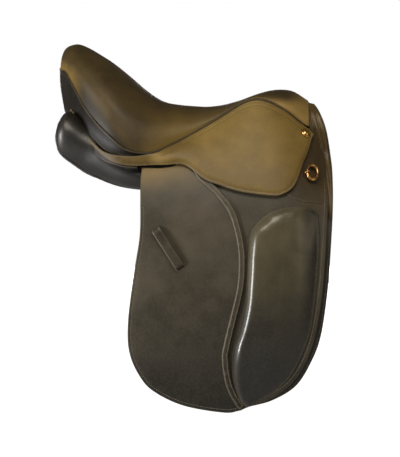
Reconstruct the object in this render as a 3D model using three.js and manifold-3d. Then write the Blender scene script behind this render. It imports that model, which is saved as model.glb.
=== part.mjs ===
// English dressage saddle: tree, seat, skirts, flaps, panels, billets and metal fittings.
// Millimetres. +X is forward, +Y is the horse's left, +Z is up. The origin is on the symmetry
// plane, at the top of the channel under the seat's lowest point, where a rack or a back carries it.
import * as THREE from "three";
import { mergeVertices } from "three/addons/utils/BufferGeometryUtils.js";
import Module from "manifold-3d";

const wasm = await Module();
wasm.setup();

// ---- Driving dimensions ----
const REAR_X = -249;               // rearmost point of the cantle
const SEAT_FRONT_X = 190;          // where the seat leather folds into the pommel facing
const BACK_HALF_WIDTH = 20;        // half of the straight middle of the cantle's back edge
const COVER = 3;                   // seat leather
const FOAM_BOTTOM = 18;            // depth of the foam's underside below the seat surface
const WEB_BOTTOM = 20.4;
const TREE_TOP = 20.8;
const TREE_BOTTOM = 28.8;
const SEAT_STATIONS = 16;
const SEAT_ROWS = 10;
const GAP = 0.4;                   // clearance between layers that lie on each other
const RIM_RISE = 2.8;              // seat leather starts this far above the seam
const BAND_DROP = 3;               // skirt starts this far below the seam
const LEATHER = 4;                 // skirts, flaps and sweat flaps
const SKIRT_LIFT = 7;              // skirt's outer face stands this far off the flap's
const SKIRT_BULGE = 8;
const FLAP_TOP_END = -92.5;         // the flap's upper part ends here, and the flap bends below it
const FLAP_START = -96.5;
const SWEAT_DEPTH = 20;            // sweat flap's outer face under the flap's outer face
const PANEL_SIDES = 12;
const BLOCK_HEIGHT = 28;           // knee block stands this far off the flap
const BILLET_WIDTH = 25;
const BILLET_PIVOT_Z = -80;
const BILLET_END_Z = -385;
const BILLET_THICK = 3.5;
const HOLE_RADIUS = 2.4;
const HOLE_PITCH = 25;
const HOLE_COUNT = 7;
const FRONT_BILLET = { x: 38, depth: 7 };
const REAR_BILLET = { x: -22, depth: 13.5 };
const SKIRT_LINE = { x: 150, z: 45, slope: 0.275 };   // straight line along which the skirt bends
const RING_RADIUS = 12.7;
const RING_WIRE = 2.8;
const RING_SPOT = { x: 196.5, z: -46 };
const STUD_SPOT = { x: 188, z: 22 };
const BAR_ANGLE = THREE.MathUtils.degToRad(38.7);     // slope of the tree's side at the stirrup bar

// ---- Profiles: a smooth curve of one variable through a few points ----
function profile(points) {
  const last = points.length - 1;
  const slopes = points.map((point, i) => {
    const before = points[Math.max(i - 1, 0)];
    const after = points[Math.min(i + 1, last)];
    return (after[1] - before[1]) / (after[0] - before[0]);
  });
  return (x) => {
    if (x <= points[0][0]) return points[0][1];
    if (x >= points[last][0]) return points[last][1];
    const i = points.findIndex((point) => point[0] > x) - 1;
    const span = points[i + 1][0] - points[i][0];
    const t = (x - points[i][0]) / span;
    const a = (1 + 2 * t) * (1 - t) ** 2;
    const b = t * (1 - t) ** 2;
    const c = t * t * (3 - 2 * t);
    const d = t * t * (t - 1);
    return a * points[i][1] + b * span * slopes[i] + c * points[i + 1][1] + d * span * slopes[i + 1];
  };
}

const seatTop = profile([
  [-249, 141], [-246, 160], [-240, 172], [-228, 178], [-214, 179], [-187, 168], [-158, 150.5],
  [-129, 127.5], [-100, 102.5], [-72, 84], [-43, 74.5], [0, 68], [36, 70], [72, 79], [107, 92],
  [134, 98], [156, 98], [170, 94], [190, 81],
]);
const seamZ = profile([
  [-249, 134], [-233, 128], [-189, 61], [-148, 19], [-118, -4], [-77, -9], [-36, 7], [5, 30], [42, 52],
  [81, 76], [110, 81], [150, 64], [184, 38.5], [203, 26],
]);
const seamY = profile([
  [-249, BACK_HALF_WIDTH], [-245, 38], [-233, 62], [-215, 92], [-189, 120], [-148, 145], [-118, 150],
  [-77, 140], [-36, 120], [5, 100], [42, 88], [81, 80], [110, 78], [150, 77], [184, 70], [203, 60],
]);
const skirtEdge = profile([
  [-196, 15], [-165, -11], [-147, -22], [-129, -29], [-95, -33], [-52, -30], [-18, -31], [16, -55],
  [76, -74], [127, -80], [149, -78], [169, -64], [183, -31], [194, -6], [203, 22],
]);
const channelTop = profile([[-215, 22], [-150, 6], [-80, 0], [60, 0], [150, 5], [185, 10]]);
const smooth = (from, to, value) => THREE.MathUtils.smoothstep(value, from, to);

// ---- Side surfaces: distance from the symmetry plane at (x, z) ----
const flapSide = profile([
  [-450, 200], [-300, 193], [-220, 187], [-150, 179], [-100, 169], [-60, 155], [-35, 142], [-10, 124],
  [20, 103], [40, 88],
]);
const frontWrap = profile([[-450, 12], [-200, 12], [-150, 16], [-100, 30], [-40, 58], [40, 60]]);

function flapY(x, z) {
  const forward = Math.max(0, x - 120) / 110;
  return flapSide(z) - frontWrap(z) * forward ** 2;
}

// The flap dips inwards below the stirrup bar to leave room for the stirrup leather.
function flapTopY(x, z) {
  const window = smooth(54, 74, x) * (1 - smooth(112, 130, x));
  return flapY(x, z) - 14 * window * smooth(-75, -38, z);
}

function skirtY(x, z) {
  const top = seamZ(x);
  const bottom = skirtEdge(x);
  const rear = 1 - smooth(-90, -55, x);
  const topY = seamY(x) + 4 * rear;
  const bottomY = THREE.MathUtils.lerp(flapY(x, Math.min(z, bottom)) + SKIRT_LIFT, topY, rear);
  const s = THREE.MathUtils.clamp((top - z) / (top - bottom), 0, 1);
  return THREE.MathUtils.lerp(topY, bottomY, s) + SKIRT_BULGE * (1 - rear) * 4 * s * (1 - s);
}

function skirtLine(x) {
  return SKIRT_LINE.z - (SKIRT_LINE.x - x) * SKIRT_LINE.slope;
}

// ---- Solids ----
function toSolid(geometry) {
  const bare = geometry.clone();
  bare.deleteAttribute("normal");
  bare.deleteAttribute("uv");
  const merged = mergeVertices(bare, 1e-4);
  const vertProperties = new Float32Array(merged.attributes.position.array);
  const triVerts = new Uint32Array(merged.index.array);
  return new wasm.Manifold(new wasm.Mesh({ numProp: 3, vertProperties, triVerts }));
}

function toGeometry(solid) {
  const mesh = solid.getMesh();
  const geometry = new THREE.BufferGeometry();
  geometry.setAttribute("position", new THREE.BufferAttribute(new Float32Array(mesh.vertProperties), 3));
  geometry.setIndex(new THREE.BufferAttribute(new Uint32Array(mesh.triVerts), 1));
  return geometry;
}

function signedVolume(position, index) {
  const [a, b, c] = [new THREE.Vector3(), new THREE.Vector3(), new THREE.Vector3()];
  let sum = 0;
  for (let i = 0; i < index.length; i += 3) {
    a.fromBufferAttribute(position, index[i]);
    b.fromBufferAttribute(position, index[i + 1]);
    c.fromBufferAttribute(position, index[i + 2]);
    sum += a.dot(b.cross(c));
  }
  return sum;
}

function closedGeometry(points, index) {
  const position = new THREE.BufferAttribute(new Float32Array(points.flat()), 3);
  if (signedVolume(position, index) < 0) {
    index.reverse();
  }
  const geometry = new THREE.BufferGeometry();
  geometry.setAttribute("position", position);
  geometry.setIndex(index);
  return geometry;
}

// A slab between two faces of a curved sheet. place(u, v, side) gives [x, y, z] for u and v from
// 0 to 1, with side 0 on one face and 1 on the other.
function slab(place, columns, rows) {
  const points = [];
  const index = [];
  const at = (i, j, side) => side * (columns + 1) * (rows + 1) + j * (columns + 1) + i;
  for (const side of [0, 1]) {
    for (let j = 0; j <= rows; j += 1) {
      for (let i = 0; i <= columns; i += 1) {
        points.push(place(i / columns, j / rows, side));
      }
    }
  }
  const quad = (a, b, c, d) => index.push(a, b, c, a, c, d);
  for (let j = 0; j < rows; j += 1) {
    for (let i = 0; i < columns; i += 1) {
      quad(at(i, j, 0), at(i + 1, j, 0), at(i + 1, j + 1, 0), at(i, j + 1, 0));
      quad(at(i, j, 1), at(i, j + 1, 1), at(i + 1, j + 1, 1), at(i + 1, j, 1));
    }
    quad(at(0, j, 0), at(0, j + 1, 0), at(0, j + 1, 1), at(0, j, 1));
    quad(at(columns, j, 0), at(columns, j, 1), at(columns, j + 1, 1), at(columns, j + 1, 0));
  }
  for (let i = 0; i < columns; i += 1) {
    quad(at(i, 0, 0), at(i, 0, 1), at(i + 1, 0, 1), at(i + 1, 0, 0));
    quad(at(i, rows, 0), at(i + 1, rows, 0), at(i + 1, rows, 1), at(i, rows, 1));
  }
  return closedGeometry(points, index);
}

// Rings of points joined into a closed body with flat ends.
function loft(rings) {
  const count = rings[0].length;
  const index = [];
  const points = rings.flat();
  for (let r = 0; r < rings.length - 1; r += 1) {
    for (let k = 0; k < count; k += 1) {
      const a = r * count + k;
      const b = r * count + ((k + 1) % count);
      index.push(a, b, b + count, a, b + count, a + count);
    }
  }
  const lastStart = (rings.length - 1) * count;
  for (let k = 1; k < count - 1; k += 1) {
    index.push(0, k + 1, k);
    index.push(lastStart, lastStart + k, lastStart + k + 1);
  }
  return closedGeometry(points, index);
}

function mirrored(geometry) {
  const copy = geometry.clone();
  copy.scale(1, -1, 1);
  const index = Array.from(copy.index.array);
  copy.setIndex(index.reverse());
  return copy;
}

// An outline made of smooth runs that meet at corners.
function outline(runs, perRun = 8) {
  const points = [];
  for (const run of runs) {
    const corners = run.map(([x, z]) => new THREE.Vector2(x, z));
    const curve = corners.length > 2 ? new THREE.SplineCurve(corners) : new THREE.LineCurve(...corners);
    const steps = corners.length > 2 ? Math.max(perRun, run.length) : 1;
    points.push(...curve.getPoints(steps).slice(0, steps));
  }
  return new THREE.Shape(points);
}

// Every side piece is sampled at the same heights and stations, so that the facets of pieces that
// lie on each other are parallel.
function levels(from, to, step) {
  const count = Math.floor((to - from) / step) + 1;
  return Array.from({ length: count }, (unused, i) => from + i * step);
}
const SIDE_X = levels(-200, 240, 22);
const SIDE_Z = [...levels(-456, -136, 40), ...levels(-96, 84, 15)];

// The part of a curved sheet inside an outline. outer and inner give the distance of its faces
// from the symmetry plane at (x, z).
function leaf(shape, outer, inner) {
  const box = new THREE.Box2().setFromPoints(shape.getPoints());
  const within = (lattice, low, high) => {
    const from = lattice.findLastIndex((level) => level < low);
    const to = lattice.findIndex((level) => level > high);
    return lattice.slice(from, to + 1);
  };
  const xs = within(SIDE_X, box.min.x, box.max.x);
  const zs = within(SIDE_Z, box.min.y, box.max.y);
  const columns = xs.length - 1;
  const rows = zs.length - 1;
  const sheet = slab((u, v, side) => {
    const x = xs[Math.round(u * columns)];
    const z = zs[Math.round(v * rows)];
    return [x, -(side === 0 ? outer(x, z) : inner(x, z)), z];
  }, columns, rows);
  const prism = new THREE.ExtrudeGeometry(shape, { depth: 320, bevelEnabled: false });
  prism.rotateX(Math.PI / 2);
  return toGeometry(toSolid(sheet).intersect(toSolid(prism)));
}

// A sheet of even thickness, whose outer face lies depth under a side surface.
function layer(shape, side, depth, thickness) {
  return leaf(shape, (x, z) => side(x, z) - depth, (x, z) => side(x, z) - depth - thickness);
}

// ---- Seat layers ----
// A point of the surface that lies depth under the seat, v from -1 to 1 across it.
function seatPoint(x, v, depth) {
  const s = Math.abs(v);
  const rise = (1 - s ** 2.4) ** 0.55;
  const rim = seamZ(x) + RIM_RISE - depth / 2;
  const dish = 4 * smooth(-225, -170, x) * (1 - smooth(-70, 0, x)) * Math.max(0, 1 - (s / 0.6) ** 2) ** 2;
  const z = rim + (seatTop(x) - depth - rim) * rise - dish;
  return [x, v * (seamY(x) - depth), z];
}

// Stations crowd together towards the cantle, where the seat turns over.
function seatStation(i) {
  return REAR_X + (SEAT_FRONT_X - REAR_X) * (i / SEAT_STATIONS) ** 1.5;
}

// One layer of the seat, between two depths. Every layer shares the same stations along and rows
// across, so the layers' facets lie parallel. trim rows are left off each side.
function seatLayer(top, bottom, first, last, trim = 0) {
  const columns = last - first;
  const rows = SEAT_ROWS - 2 * trim;
  return slab((u, v, side) => {
    const row = trim + v * rows;
    const across = Math.sin((row / SEAT_ROWS - 0.5) * Math.PI);
    return seatPoint(seatStation(first + u * columns), across, side === 0 ? top : bottom);
  }, columns, rows);
}

// Plan of the seat's edge from the right front, round the back, to the left front: w from -1 to 1.
function edgePlan(w, frontX, inset) {
  const straight = 0.06;
  const side = Math.abs(w);
  const run = Math.max(0, side - straight) / (1 - straight);
  const back = (1 - run) ** 6;
  const x = REAR_X + (frontX - REAR_X) * run ** 1.5 + inset * back;
  const half = side < straight ? (BACK_HALF_WIDTH * side) / straight : seamY(x - inset * back);
  return { x, y: -Math.sign(w) * Math.max(0, half - inset * (1 - 0.7 * back)), back };
}

function seatPiping() {
  const points = [];
  for (let i = -16; i <= 16; i += 1) {
    const edge = edgePlan(i / 16, SEAT_FRONT_X - 2, -2.8);
    points.push(new THREE.Vector3(edge.x, edge.y, seamZ(edge.x) - 0.3));
  }
  const path = new THREE.CatmullRomCurve3(points);
  const round = new THREE.Shape();
  round.absarc(0, 0, 1.2, 0, 2 * Math.PI);
  return new THREE.ExtrudeGeometry(round, {
    steps: 40, curveSegments: 3, bevelEnabled: false, extrudePath: path,
  });
}

function cantleFacing() {
  const low = profile([[-249, 70], [-233, 66], [-190, 46], [-148, -4], [-118, -14], [-85, -19]]);
  return slab((u, v, side) => {
    const plan = edgePlan(2 * u - 1, -85, side === 0 ? 5.2 : 8.2);
    const top = seamZ(plan.x) - 5 - 6 * plan.back;
    const z = THREE.MathUtils.lerp(top, Math.min(low(plan.x), top - 3), v);
    return [plan.x + 12 * v * plan.back, plan.y, z];
  }, 24, 2);
}

function pommelFacing() {
  const seatEdgeX = profile([[0, 193], [0.5, 198], [0.75, 204], [1, 216]]);
  const seatEdgeY = profile([[0, 0], [0.25, 26], [0.5, 46], [0.75, 60], [1, 70]]);
  const seatEdgeZ = profile([[0, 79], [0.25, 76], [0.5, 62], [0.75, 38], [1, 4]]);
  const frontX = profile([[0, 199], [0.25, 204], [0.5, 213], [0.75, 223], [1, 229]]);
  const frontY = profile([[0, 0], [0.25, 27], [0.5, 48], [0.75, 60], [1, 66]]);
  const frontZ = profile([[0, 70], [0.25, 68], [0.5, 53], [0.75, 26], [1, -8]]);
  return slab((u, v, side) => {
    const s = Math.abs(2 * u - 1);
    const sign = Math.sign(2 * u - 1);
    const inward = 4 * side;
    const x = THREE.MathUtils.lerp(seatEdgeX(s), frontX(s), v) - inward * 0.7;
    const y = THREE.MathUtils.lerp(seatEdgeY(s), frontY(s), v) - inward * s;
    const z = THREE.MathUtils.lerp(seatEdgeZ(s), frontZ(s), v) - inward * (1 - s);
    return [x, sign * Math.max(0, y), z];
  }, 20, 2);
}

function channelLining() {
  return slab((u, v, side) => {
    const x = THREE.MathUtils.lerp(-212, 182, u);
    return [x, (v - 0.5) * 60, channelTop(x) + 2.5 * side];
  }, 12, 2);
}

// ---- Tree front ----
function headPlate() {
  const pathY = profile([[0, 0], [0.2, 32], [0.38, 60], [0.52, 80], [0.66, 93], [0.8, 108], [1, 135]]);
  const pathZ = profile([[0, 56], [0.2, 50], [0.38, 36], [0.52, 18], [0.66, -2], [0.8, -24], [1, -62]]);
  return slab((u, v, side) => {
    const s = Math.abs(2 * u - 1);
    const step = 0.01;
    const tangentY = pathY(Math.min(1, s + step)) - pathY(Math.max(0, s - step));
    const tangentZ = pathZ(Math.min(1, s + step)) - pathZ(Math.max(0, s - step));
    const length = Math.hypot(tangentY, tangentZ);
    const y = pathY(s) + (4 * side * tangentZ) / length;
    const z = pathZ(s) - (4 * side * tangentY) / length;
    return [THREE.MathUtils.lerp(148, 174, v), Math.sign(2 * u - 1) * Math.max(0, y), z];
  }, 22, 1);
}

// Local frame on the tree's side: x forward, y up the slope, z out along the slope's normal.
function onTreeSide(geometry) {
  geometry.rotateX(Math.PI / 2 - BAR_ANGLE);
  geometry.translate(0, -88, 8);
  return geometry;
}

function plate(shape, from, to) {
  const geometry = new THREE.ExtrudeGeometry(shape, { depth: to - from, bevelEnabled: false, curveSegments: 4 });
  geometry.translate(0, 0, from);
  return geometry;
}

const BAR = { rear: 84, front: 142, low: -22, high: -9, inner: 12, outer: 18, armX: 128 };
const CATCH_PIN = { x: 90, y: -15.5, radius: 2, clearance: 0.35 };

function roundHole(x, y, radius) {
  const hole = new THREE.Path();
  hole.absarc(x, y, radius, 0, 2 * Math.PI, true);
  return hole;
}

function stirrupBar() {
  const fixing = toSolid(plate(outline([[[95, -2], [178, -2]], [[178, -2], [178, 14]], [[178, 14], [95, 14]],
    [[95, 14], [95, -2]]]), 0.4, 5.4));
  const arm = toSolid(plate(outline([[[BAR.armX, BAR.low], [BAR.front, BAR.low]],
    [[BAR.front, BAR.low], [BAR.front, 14]], [[BAR.front, 14], [BAR.armX, 14]],
    [[BAR.armX, 14], [BAR.armX, BAR.low]]]), 0.4, BAR.outer));
  const bar = toSolid(plate(outline([[[98, BAR.low], [BAR.front, BAR.low]],
    [[BAR.front, BAR.low], [BAR.front, BAR.high]], [[BAR.front, BAR.high], [98, BAR.high]],
    [[98, BAR.high], [98, BAR.low]]]), BAR.inner, BAR.outer));
  const tailShape = outline([[[BAR.rear, BAR.low], [99, BAR.low]], [[99, BAR.low], [99, BAR.high]],
    [[99, BAR.high], [BAR.rear, BAR.high]], [[BAR.rear, BAR.high], [BAR.rear, BAR.low]]]);
  tailShape.holes.push(roundHole(CATCH_PIN.x, CATCH_PIN.y, CATCH_PIN.radius + CATCH_PIN.clearance));
  const tail = toSolid(plate(tailShape, BAR.inner, BAR.inner + 2.7));
  return onTreeSide(toGeometry(fixing.add(arm).add(bar).add(tail)));
}

function safetyCatch() {
  const shape = new THREE.Shape();
  const { x, y, radius, clearance } = CATCH_PIN;
  shape.absarc(x, y, 6, -Math.PI / 2, Math.PI / 2);
  shape.lineTo(70, y + 5);
  shape.absarc(70, y, 5, Math.PI / 2, 1.5 * Math.PI);
  shape.lineTo(x, y - 6);
  shape.holes.push(roundHole(x, y, radius + clearance));
  return onTreeSide(plate(shape, BAR.inner + 3.3, BAR.outer));
}

function catchPin() {
  const pin = new THREE.CylinderGeometry(CATCH_PIN.radius, CATCH_PIN.radius, 8, 12);
  pin.rotateX(Math.PI / 2);
  pin.translate(CATCH_PIN.x, CATCH_PIN.y, 15);
  return onTreeSide(pin);
}

// A rivet's head, which stands on the fixing plate.
function barRivet(x) {
  const head = new THREE.CylinderGeometry(3.2, 4.5, 2, 12);
  head.rotateX(Math.PI / 2);
  head.translate(x, 6, 6.8);
  return onTreeSide(head);
}

// ---- Panel ----
const panelSection = {
  y: profile([[-246, 98], [-226, 94], [-190, 87], [-144, 86], [-100, 87], [-60, 84], [20, 82], [140, 82],
    [188, 74], [200, 72]]),
  z: profile([[-246, 15], [-226, 16], [-190, -6], [-144, -29], [-100, -40], [-60, -42], [20, -42],
    [140, -46], [200, -48]]),
  wide: profile([[-246, 12], [-240, 32], [-226, 42], [-190, 44], [-144, 50], [-100, 52], [-60, 49],
    [80, 52], [140, 56], [188, 46], [200, 24]]),
  thick: profile([[-246, 11], [-240, 29], [-226, 43.5], [-190, 45], [-144, 36.5], [-100, 28], [-60, 24],
    [20, 22], [140, 18], [188, 14], [200, 8]]),
  tilt: profile([[-246, 10], [-190, 14], [-144, 20], [-100, 25], [-60, 29], [20, 37], [140, 52], [200, 58]]),
};

function panel() {
  const rings = [];
  for (const x of [-246, -242, -234, -220, -195, -165, -125, -80, -40, 20, 80, 130, 170, 190, 200]) {
    const tilt = THREE.MathUtils.degToRad(panelSection.tilt(x));
    const ring = [];
    for (let k = 0; k < PANEL_SIDES; k += 1) {
      const angle = (2 * Math.PI * k) / PANEL_SIDES;
      const a = panelSection.wide(x) * Math.sign(Math.cos(angle)) * Math.abs(Math.cos(angle)) ** 0.8;
      const b = panelSection.thick(x) * Math.sign(Math.sin(angle)) * Math.abs(Math.sin(angle)) ** 0.8;
      const y = panelSection.y(x) + a * Math.cos(tilt) + b * Math.sin(tilt);
      const z = panelSection.z(x) - a * Math.sin(tilt) + b * Math.cos(tilt);
      ring.push([x, -y, z]);
    }
    rings.push(ring);
  }
  return loft(rings);
}

// ---- Flat leather pieces on the sides ----
const flapRear = [[-93, FLAP_START], [-93, -150], [-102, -210], [-112, -291], [-110, -345], [-92, -387],
  [-67, -413], [-17, -436], [51, -447], [79, -443]];
const flapFront = [[79, -443], [92, -437], [129, -423], [165, -397], [191, -357], [206, -310], [216, -249],
  [221, -189], [224, -139], [227, FLAP_START]];

function flapTop() {
  return layer(outline([
    [[-93, FLAP_TOP_END], [227.3, FLAP_TOP_END]],
    [[227.3, FLAP_TOP_END], [226, -60], [222, -24], [213, 4], [206, 14]],
    [[206, 14], [190, 10]], [[190, 10], [183, -16]], [[183, -16], [64, -16]], [[64, -16], [56, 2]],
    [[56, 2], [5, 2], [-36, -8], [-92, -22]],
    [[-92, -22], [-97, -50], [-93, FLAP_TOP_END]],
  ], 5), flapTopY, 0, LEATHER);
}

function flap() {
  const top = [[227, FLAP_START], [-93, FLAP_START]];
  return layer(outline([flapRear, flapFront, top], 12), flapY, 0, LEATHER);
}

const blockRear = profile([[-436, 94], [-398, 75], [-355, 65], [-322, 68], [-280, 76], [-240, 84],
  [-197, 86], [-147, 92], [-112, 108], [-96, 150]]);
const blockFront = profile([[-436, 96], [-395, 120], [-356, 153], [-314, 178], [-272, 192], [-222, 199],
  [-155, 200], [-112, 194], [-98, 170]]);

function blockHeight(x, z) {
  const rear = blockRear(z);
  const across = THREE.MathUtils.clamp((x - rear) / (blockFront(z) - rear), 0, 1);
  const crown = Math.max(0, 1 - Math.abs(2 * across ** 0.75 - 1) ** 2.6);
  const drop = smooth(0, 44, FLAP_START - z);
  const toe = 1 - 0.7 * smooth(320, 430, -z);
  return 3.5 + BLOCK_HEIGHT * crown * drop * toe;
}

function kneeBlock() {
  const rearRun = [[150, -98], [120, -104], [97, -135], [87, -190], [84, -240], [76, -280], [68, -322],
    [65, -355], [75, -398], [92, -432]];
  const frontRun = [[92, -432], [120, -395], [153, -356], [178, -314], [192, -272], [199, -222], [200, -155],
    [194, -110], [170, -98], [150, -98]];
  const shape = outline([rearRun, frontRun], 12);
  return leaf(shape, (x, z) => flapY(x, z) + blockHeight(x, z), (x, z) => flapY(x, z) + GAP);
}

// Closer to the flap at the front, where no billets lie between them.
function sweatDepth(x, z) {
  return SWEAT_DEPTH - 12 * smooth(110, 200, x) * smooth(80, 130, -z);
}

function sweatFlap() {
  const shape = outline([
    [[-58, -68], [-76, -150], [-84, -290], [-72, -370], [-30, -408], [50, -428], [92, -441]],
    [[92, -441], [132, -429], [173, -402], [200, -358], [214.5, -317], [224.5, -251], [229.5, -191],
      [232, -141], [233.5, -75], [232, -36], [229, -16]],
    [[229, -16], [214, -26], [180, -66]],
    [[180, -66], [150, -70], [40, -68], [-58, -68]],
  ], 9);
  const outer = (x, z) => flapY(x, z) - sweatDepth(x, z);
  return leaf(shape, outer, (x, z) => outer(x, z) - LEATHER);
}

// The skirt's top edge keeps further off the seam where the piping turns over the pommel.
function skirtTop(x) {
  return seamZ(x) - BAND_DROP - 2.5 * smooth(40, 75, x) * (1 - smooth(120, 150, x));
}

function skirtBand() {
  const seam = (x) => [x, skirtTop(x)];
  const line = (x) => [x, skirtLine(x) + 1.5];
  const seamRun = levels(-77, 163, 15).reverse().map(seam);
  return layer(outline([
    [[-158, -16], [-129, -29], [-100, -32.5]],
    [[-100, -32.5], [-86, skirtLine(-86) + 1.5]],
    [line(-86), line(163)],
    [line(163), seam(163)],
    seamRun,
    [seam(-77), [-102, -14], [-138, -11], [-158, -6]],
    [[-158, -6], [-158, -16]],
  ], 8), skirtY, 0, LEATHER);
}

function skirtLobe() {
  const seam = (x) => [x, skirtTop(x)];
  const line = (x) => [x, skirtLine(x) - 1.5];
  return layer(outline([
    [line(-82), [-80, -32]],
    [[-80, -32], [-52, -30], [-18, -31], [16, -55], [76, -74], [127, -80], [149, -78], [169, -64]],
    [[169, -64], [183, -31], [194, -6], [203, 22]],
    [[203, 22], seam(196), seam(184), seam(172), seam(165)],
    [seam(165), line(161)],
    [line(161), line(-82)],
  ], 9), skirtY, 0, LEATHER);
}

function girthWeb({ x, depth }) {
  const half = BILLET_WIDTH / 2;
  const low = BILLET_PIVOT_Z + half + 1;
  return layer(outline([[[x - half, low], [x + half, low]], [[x + half, low], [x + half, -22]],
    [[x + half, -22], [x - half, -22]], [[x - half, -22], [x - half, low]]]),
  flapY, depth, BILLET_THICK);
}

function billet({ x, depth }) {
  const half = BILLET_WIDTH / 2;
  const shape = new THREE.Shape();
  shape.absarc(x, BILLET_PIVOT_Z, half, 0, Math.PI);
  shape.lineTo(x - half, BILLET_END_Z + half);
  shape.lineTo(x, BILLET_END_Z);
  shape.lineTo(x + half, BILLET_END_Z + half);
  for (let i = 0; i < HOLE_COUNT; i += 1) {
    shape.holes.push(roundHole(x, BILLET_END_Z + 30 + i * HOLE_PITCH, HOLE_RADIUS));
  }
  const points = { shape: shape.getPoints(4), holes: shape.holes.map((hole) => hole.getPoints(2)) };
  const coarse = new THREE.Shape(points.shape);
  coarse.holes = points.holes.map((hole) => new THREE.Path(hole));
  return layer(coarse, flapY, depth, BILLET_THICK);
}

function pointPocket() {
  return layer(outline([[[144, -20], [178, -20]], [[178, -20], [178, -60], [161, -76], [144, -60]],
    [[144, -60], [144, -20]]], 4), flapY, 5, 2.4);
}

// ---- Fittings on a side surface ----
// Turns a piece made round the origin, with +Z outwards and +Y up, onto the surface at (x, z).
function onSurface(geometry, side, x, z, lift, spin = 0) {
  const step = 1;
  const slopeX = (side(x + step, z) - side(x - step, z)) / (2 * step);
  const slopeZ = (side(x, z + step) - side(x, z - step)) / (2 * step);
  const out = new THREE.Vector3(-slopeX, -1, -slopeZ).normalize();
  const up = new THREE.Vector3(0, 0, 1).addScaledVector(out, -out.z).normalize();
  const forward = new THREE.Vector3().crossVectors(up, out);
  const matrix = new THREE.Matrix4().makeBasis(forward, up, out);
  geometry.rotateZ(spin);
  geometry.applyMatrix4(matrix);
  geometry.translate(x + out.x * lift, -side(x, z) + out.y * lift, z + out.z * lift);
  return geometry;
}

function keeper() {
  const profileShape = new THREE.Shape([
    [-38, 0], [-26, 0], [-22, 7], [22, 7], [26, 0], [38, 0], [38, 2.6], [28, 2.8], [24, 9.8], [-24, 9.8],
    [-28, 2.8], [-38, 2.6],
  ].map(([x, y]) => new THREE.Vector2(x, y)));
  const strap = new THREE.ExtrudeGeometry(profileShape, { depth: 16, bevelEnabled: false });
  strap.translate(0, 0, -8);
  strap.rotateX(Math.PI / 2);
  return onSurface(strap, flapY, -45, -170, 1.2, THREE.MathUtils.degToRad(-57));
}

function breastplateRing() {
  const ring = new THREE.TorusGeometry(RING_RADIUS, RING_WIRE, 6, 20);
  return onSurface(ring, flapY, RING_SPOT.x, RING_SPOT.z, 5.2);
}

// A loop of wire that straddles the ring's rear edge.
function ringStaple() {
  const arch = new THREE.Shape();
  arch.moveTo(5.6, 0);
  arch.absarc(0, 4.8, 5.6, 0, Math.PI);
  arch.lineTo(-5.6, 0);
  arch.lineTo(-3.5, 0);
  arch.absarc(0, 4.8, 3.5, Math.PI, 0, true);
  arch.lineTo(3.5, 0);
  const staple = new THREE.ExtrudeGeometry(arch, { depth: 3, bevelEnabled: false, curveSegments: 4 });
  staple.translate(0, 0, -1.5);
  staple.rotateX(Math.PI / 2);
  staple.translate(-RING_RADIUS, 0, 0);
  return onSurface(staple, flapY, RING_SPOT.x, RING_SPOT.z, 0.5);
}

function stud() {
  const radius = 8.2;
  const dome = new THREE.LatheGeometry([
    new THREE.Vector2(0, 0), new THREE.Vector2(radius, 0), new THREE.Vector2(radius, 0.8),
    new THREE.Vector2(0.75 * radius, 2.2), new THREE.Vector2(0.4 * radius, 3), new THREE.Vector2(0, 3.2),
  ], 14);
  dome.rotateX(Math.PI / 2);
  return onSurface(dome, skirtY, STUD_SPOT.x, STUD_SPOT.z, 0.6);
}

// ---- Materials ----
function material(color, roughness, metalness = 0) {
  return new THREE.MeshStandardMaterial({ color, roughness, metalness });
}
const leather = material(0x4a3d24, 0.45);
const darkLeather = material(0x2a241b, 0.4);
const blockLeather = material(0x17130f, 0.3);
const panelLeather = material(0x1f1c1a, 0.35);
const strapLeather = material(0x2c2218, 0.5);
const web = material(0xb9ab8c, 0.9);
const foam = material(0xd8cfa6, 0.95);
const moulding = material(0x2f3133, 0.6);
const steel = material(0x8f9296, 0.35, 0.9);
const brass = material(0xc79a4b, 0.25, 1);

// ---- Assembly ----
const saddle = new THREE.Group();

function add(parent, name, geometry, finish) {
  const mesh = new THREE.Mesh(geometry, finish);
  mesh.name = name;
  parent.add(mesh);
}

// A piece on the right and its mirror image on the left.
function addPair(name, geometry, finish) {
  const indexed = geometry.index ? geometry : mergeVertices(geometry);
  add(saddle, `${name}_right`, indexed, finish);
  add(saddle, `${name}_left`, mirrored(indexed), finish);
}

add(saddle, "seat_cover", seatLayer(0, COVER, 0, SEAT_STATIONS), leather);
add(saddle, "seat_foam", seatLayer(COVER + GAP, FOAM_BOTTOM, 1, SEAT_STATIONS - 1), foam);
add(saddle, "seat_webbing", seatLayer(FOAM_BOTTOM + GAP, WEB_BOTTOM, 3, SEAT_STATIONS - 2, 3), web);
add(saddle, "tree", seatLayer(TREE_TOP, TREE_BOTTOM, 2, SEAT_STATIONS - 1), moulding);
add(saddle, "seat_piping", seatPiping(), darkLeather);
add(saddle, "cantle_facing", cantleFacing(), darkLeather);
add(saddle, "pommel_facing", pommelFacing(), darkLeather);
add(saddle, "channel_lining", channelLining(), panelLeather);
add(saddle, "head_plate", headPlate(), steel);
addPair("panel", panel(), panelLeather);
addPair("flap_top", flapTop(), darkLeather);
addPair("flap", flap(), darkLeather);
addPair("knee_block", kneeBlock(), blockLeather);
addPair("sweat_flap", sweatFlap(), panelLeather);
addPair("skirt_band", skirtBand(), leather);
addPair("skirt", skirtLobe(), leather);
addPair("point_pocket", pointPocket(), strapLeather);
addPair("front_girth_web", girthWeb(FRONT_BILLET), web);
addPair("rear_girth_web", girthWeb(REAR_BILLET), web);
addPair("front_billet", billet(FRONT_BILLET), strapLeather);
addPair("rear_billet", billet(REAR_BILLET), strapLeather);
addPair("stirrup_bar", stirrupBar(), steel);
addPair("safety_catch", safetyCatch(), steel);
addPair("catch_pin", catchPin(), steel);
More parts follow.
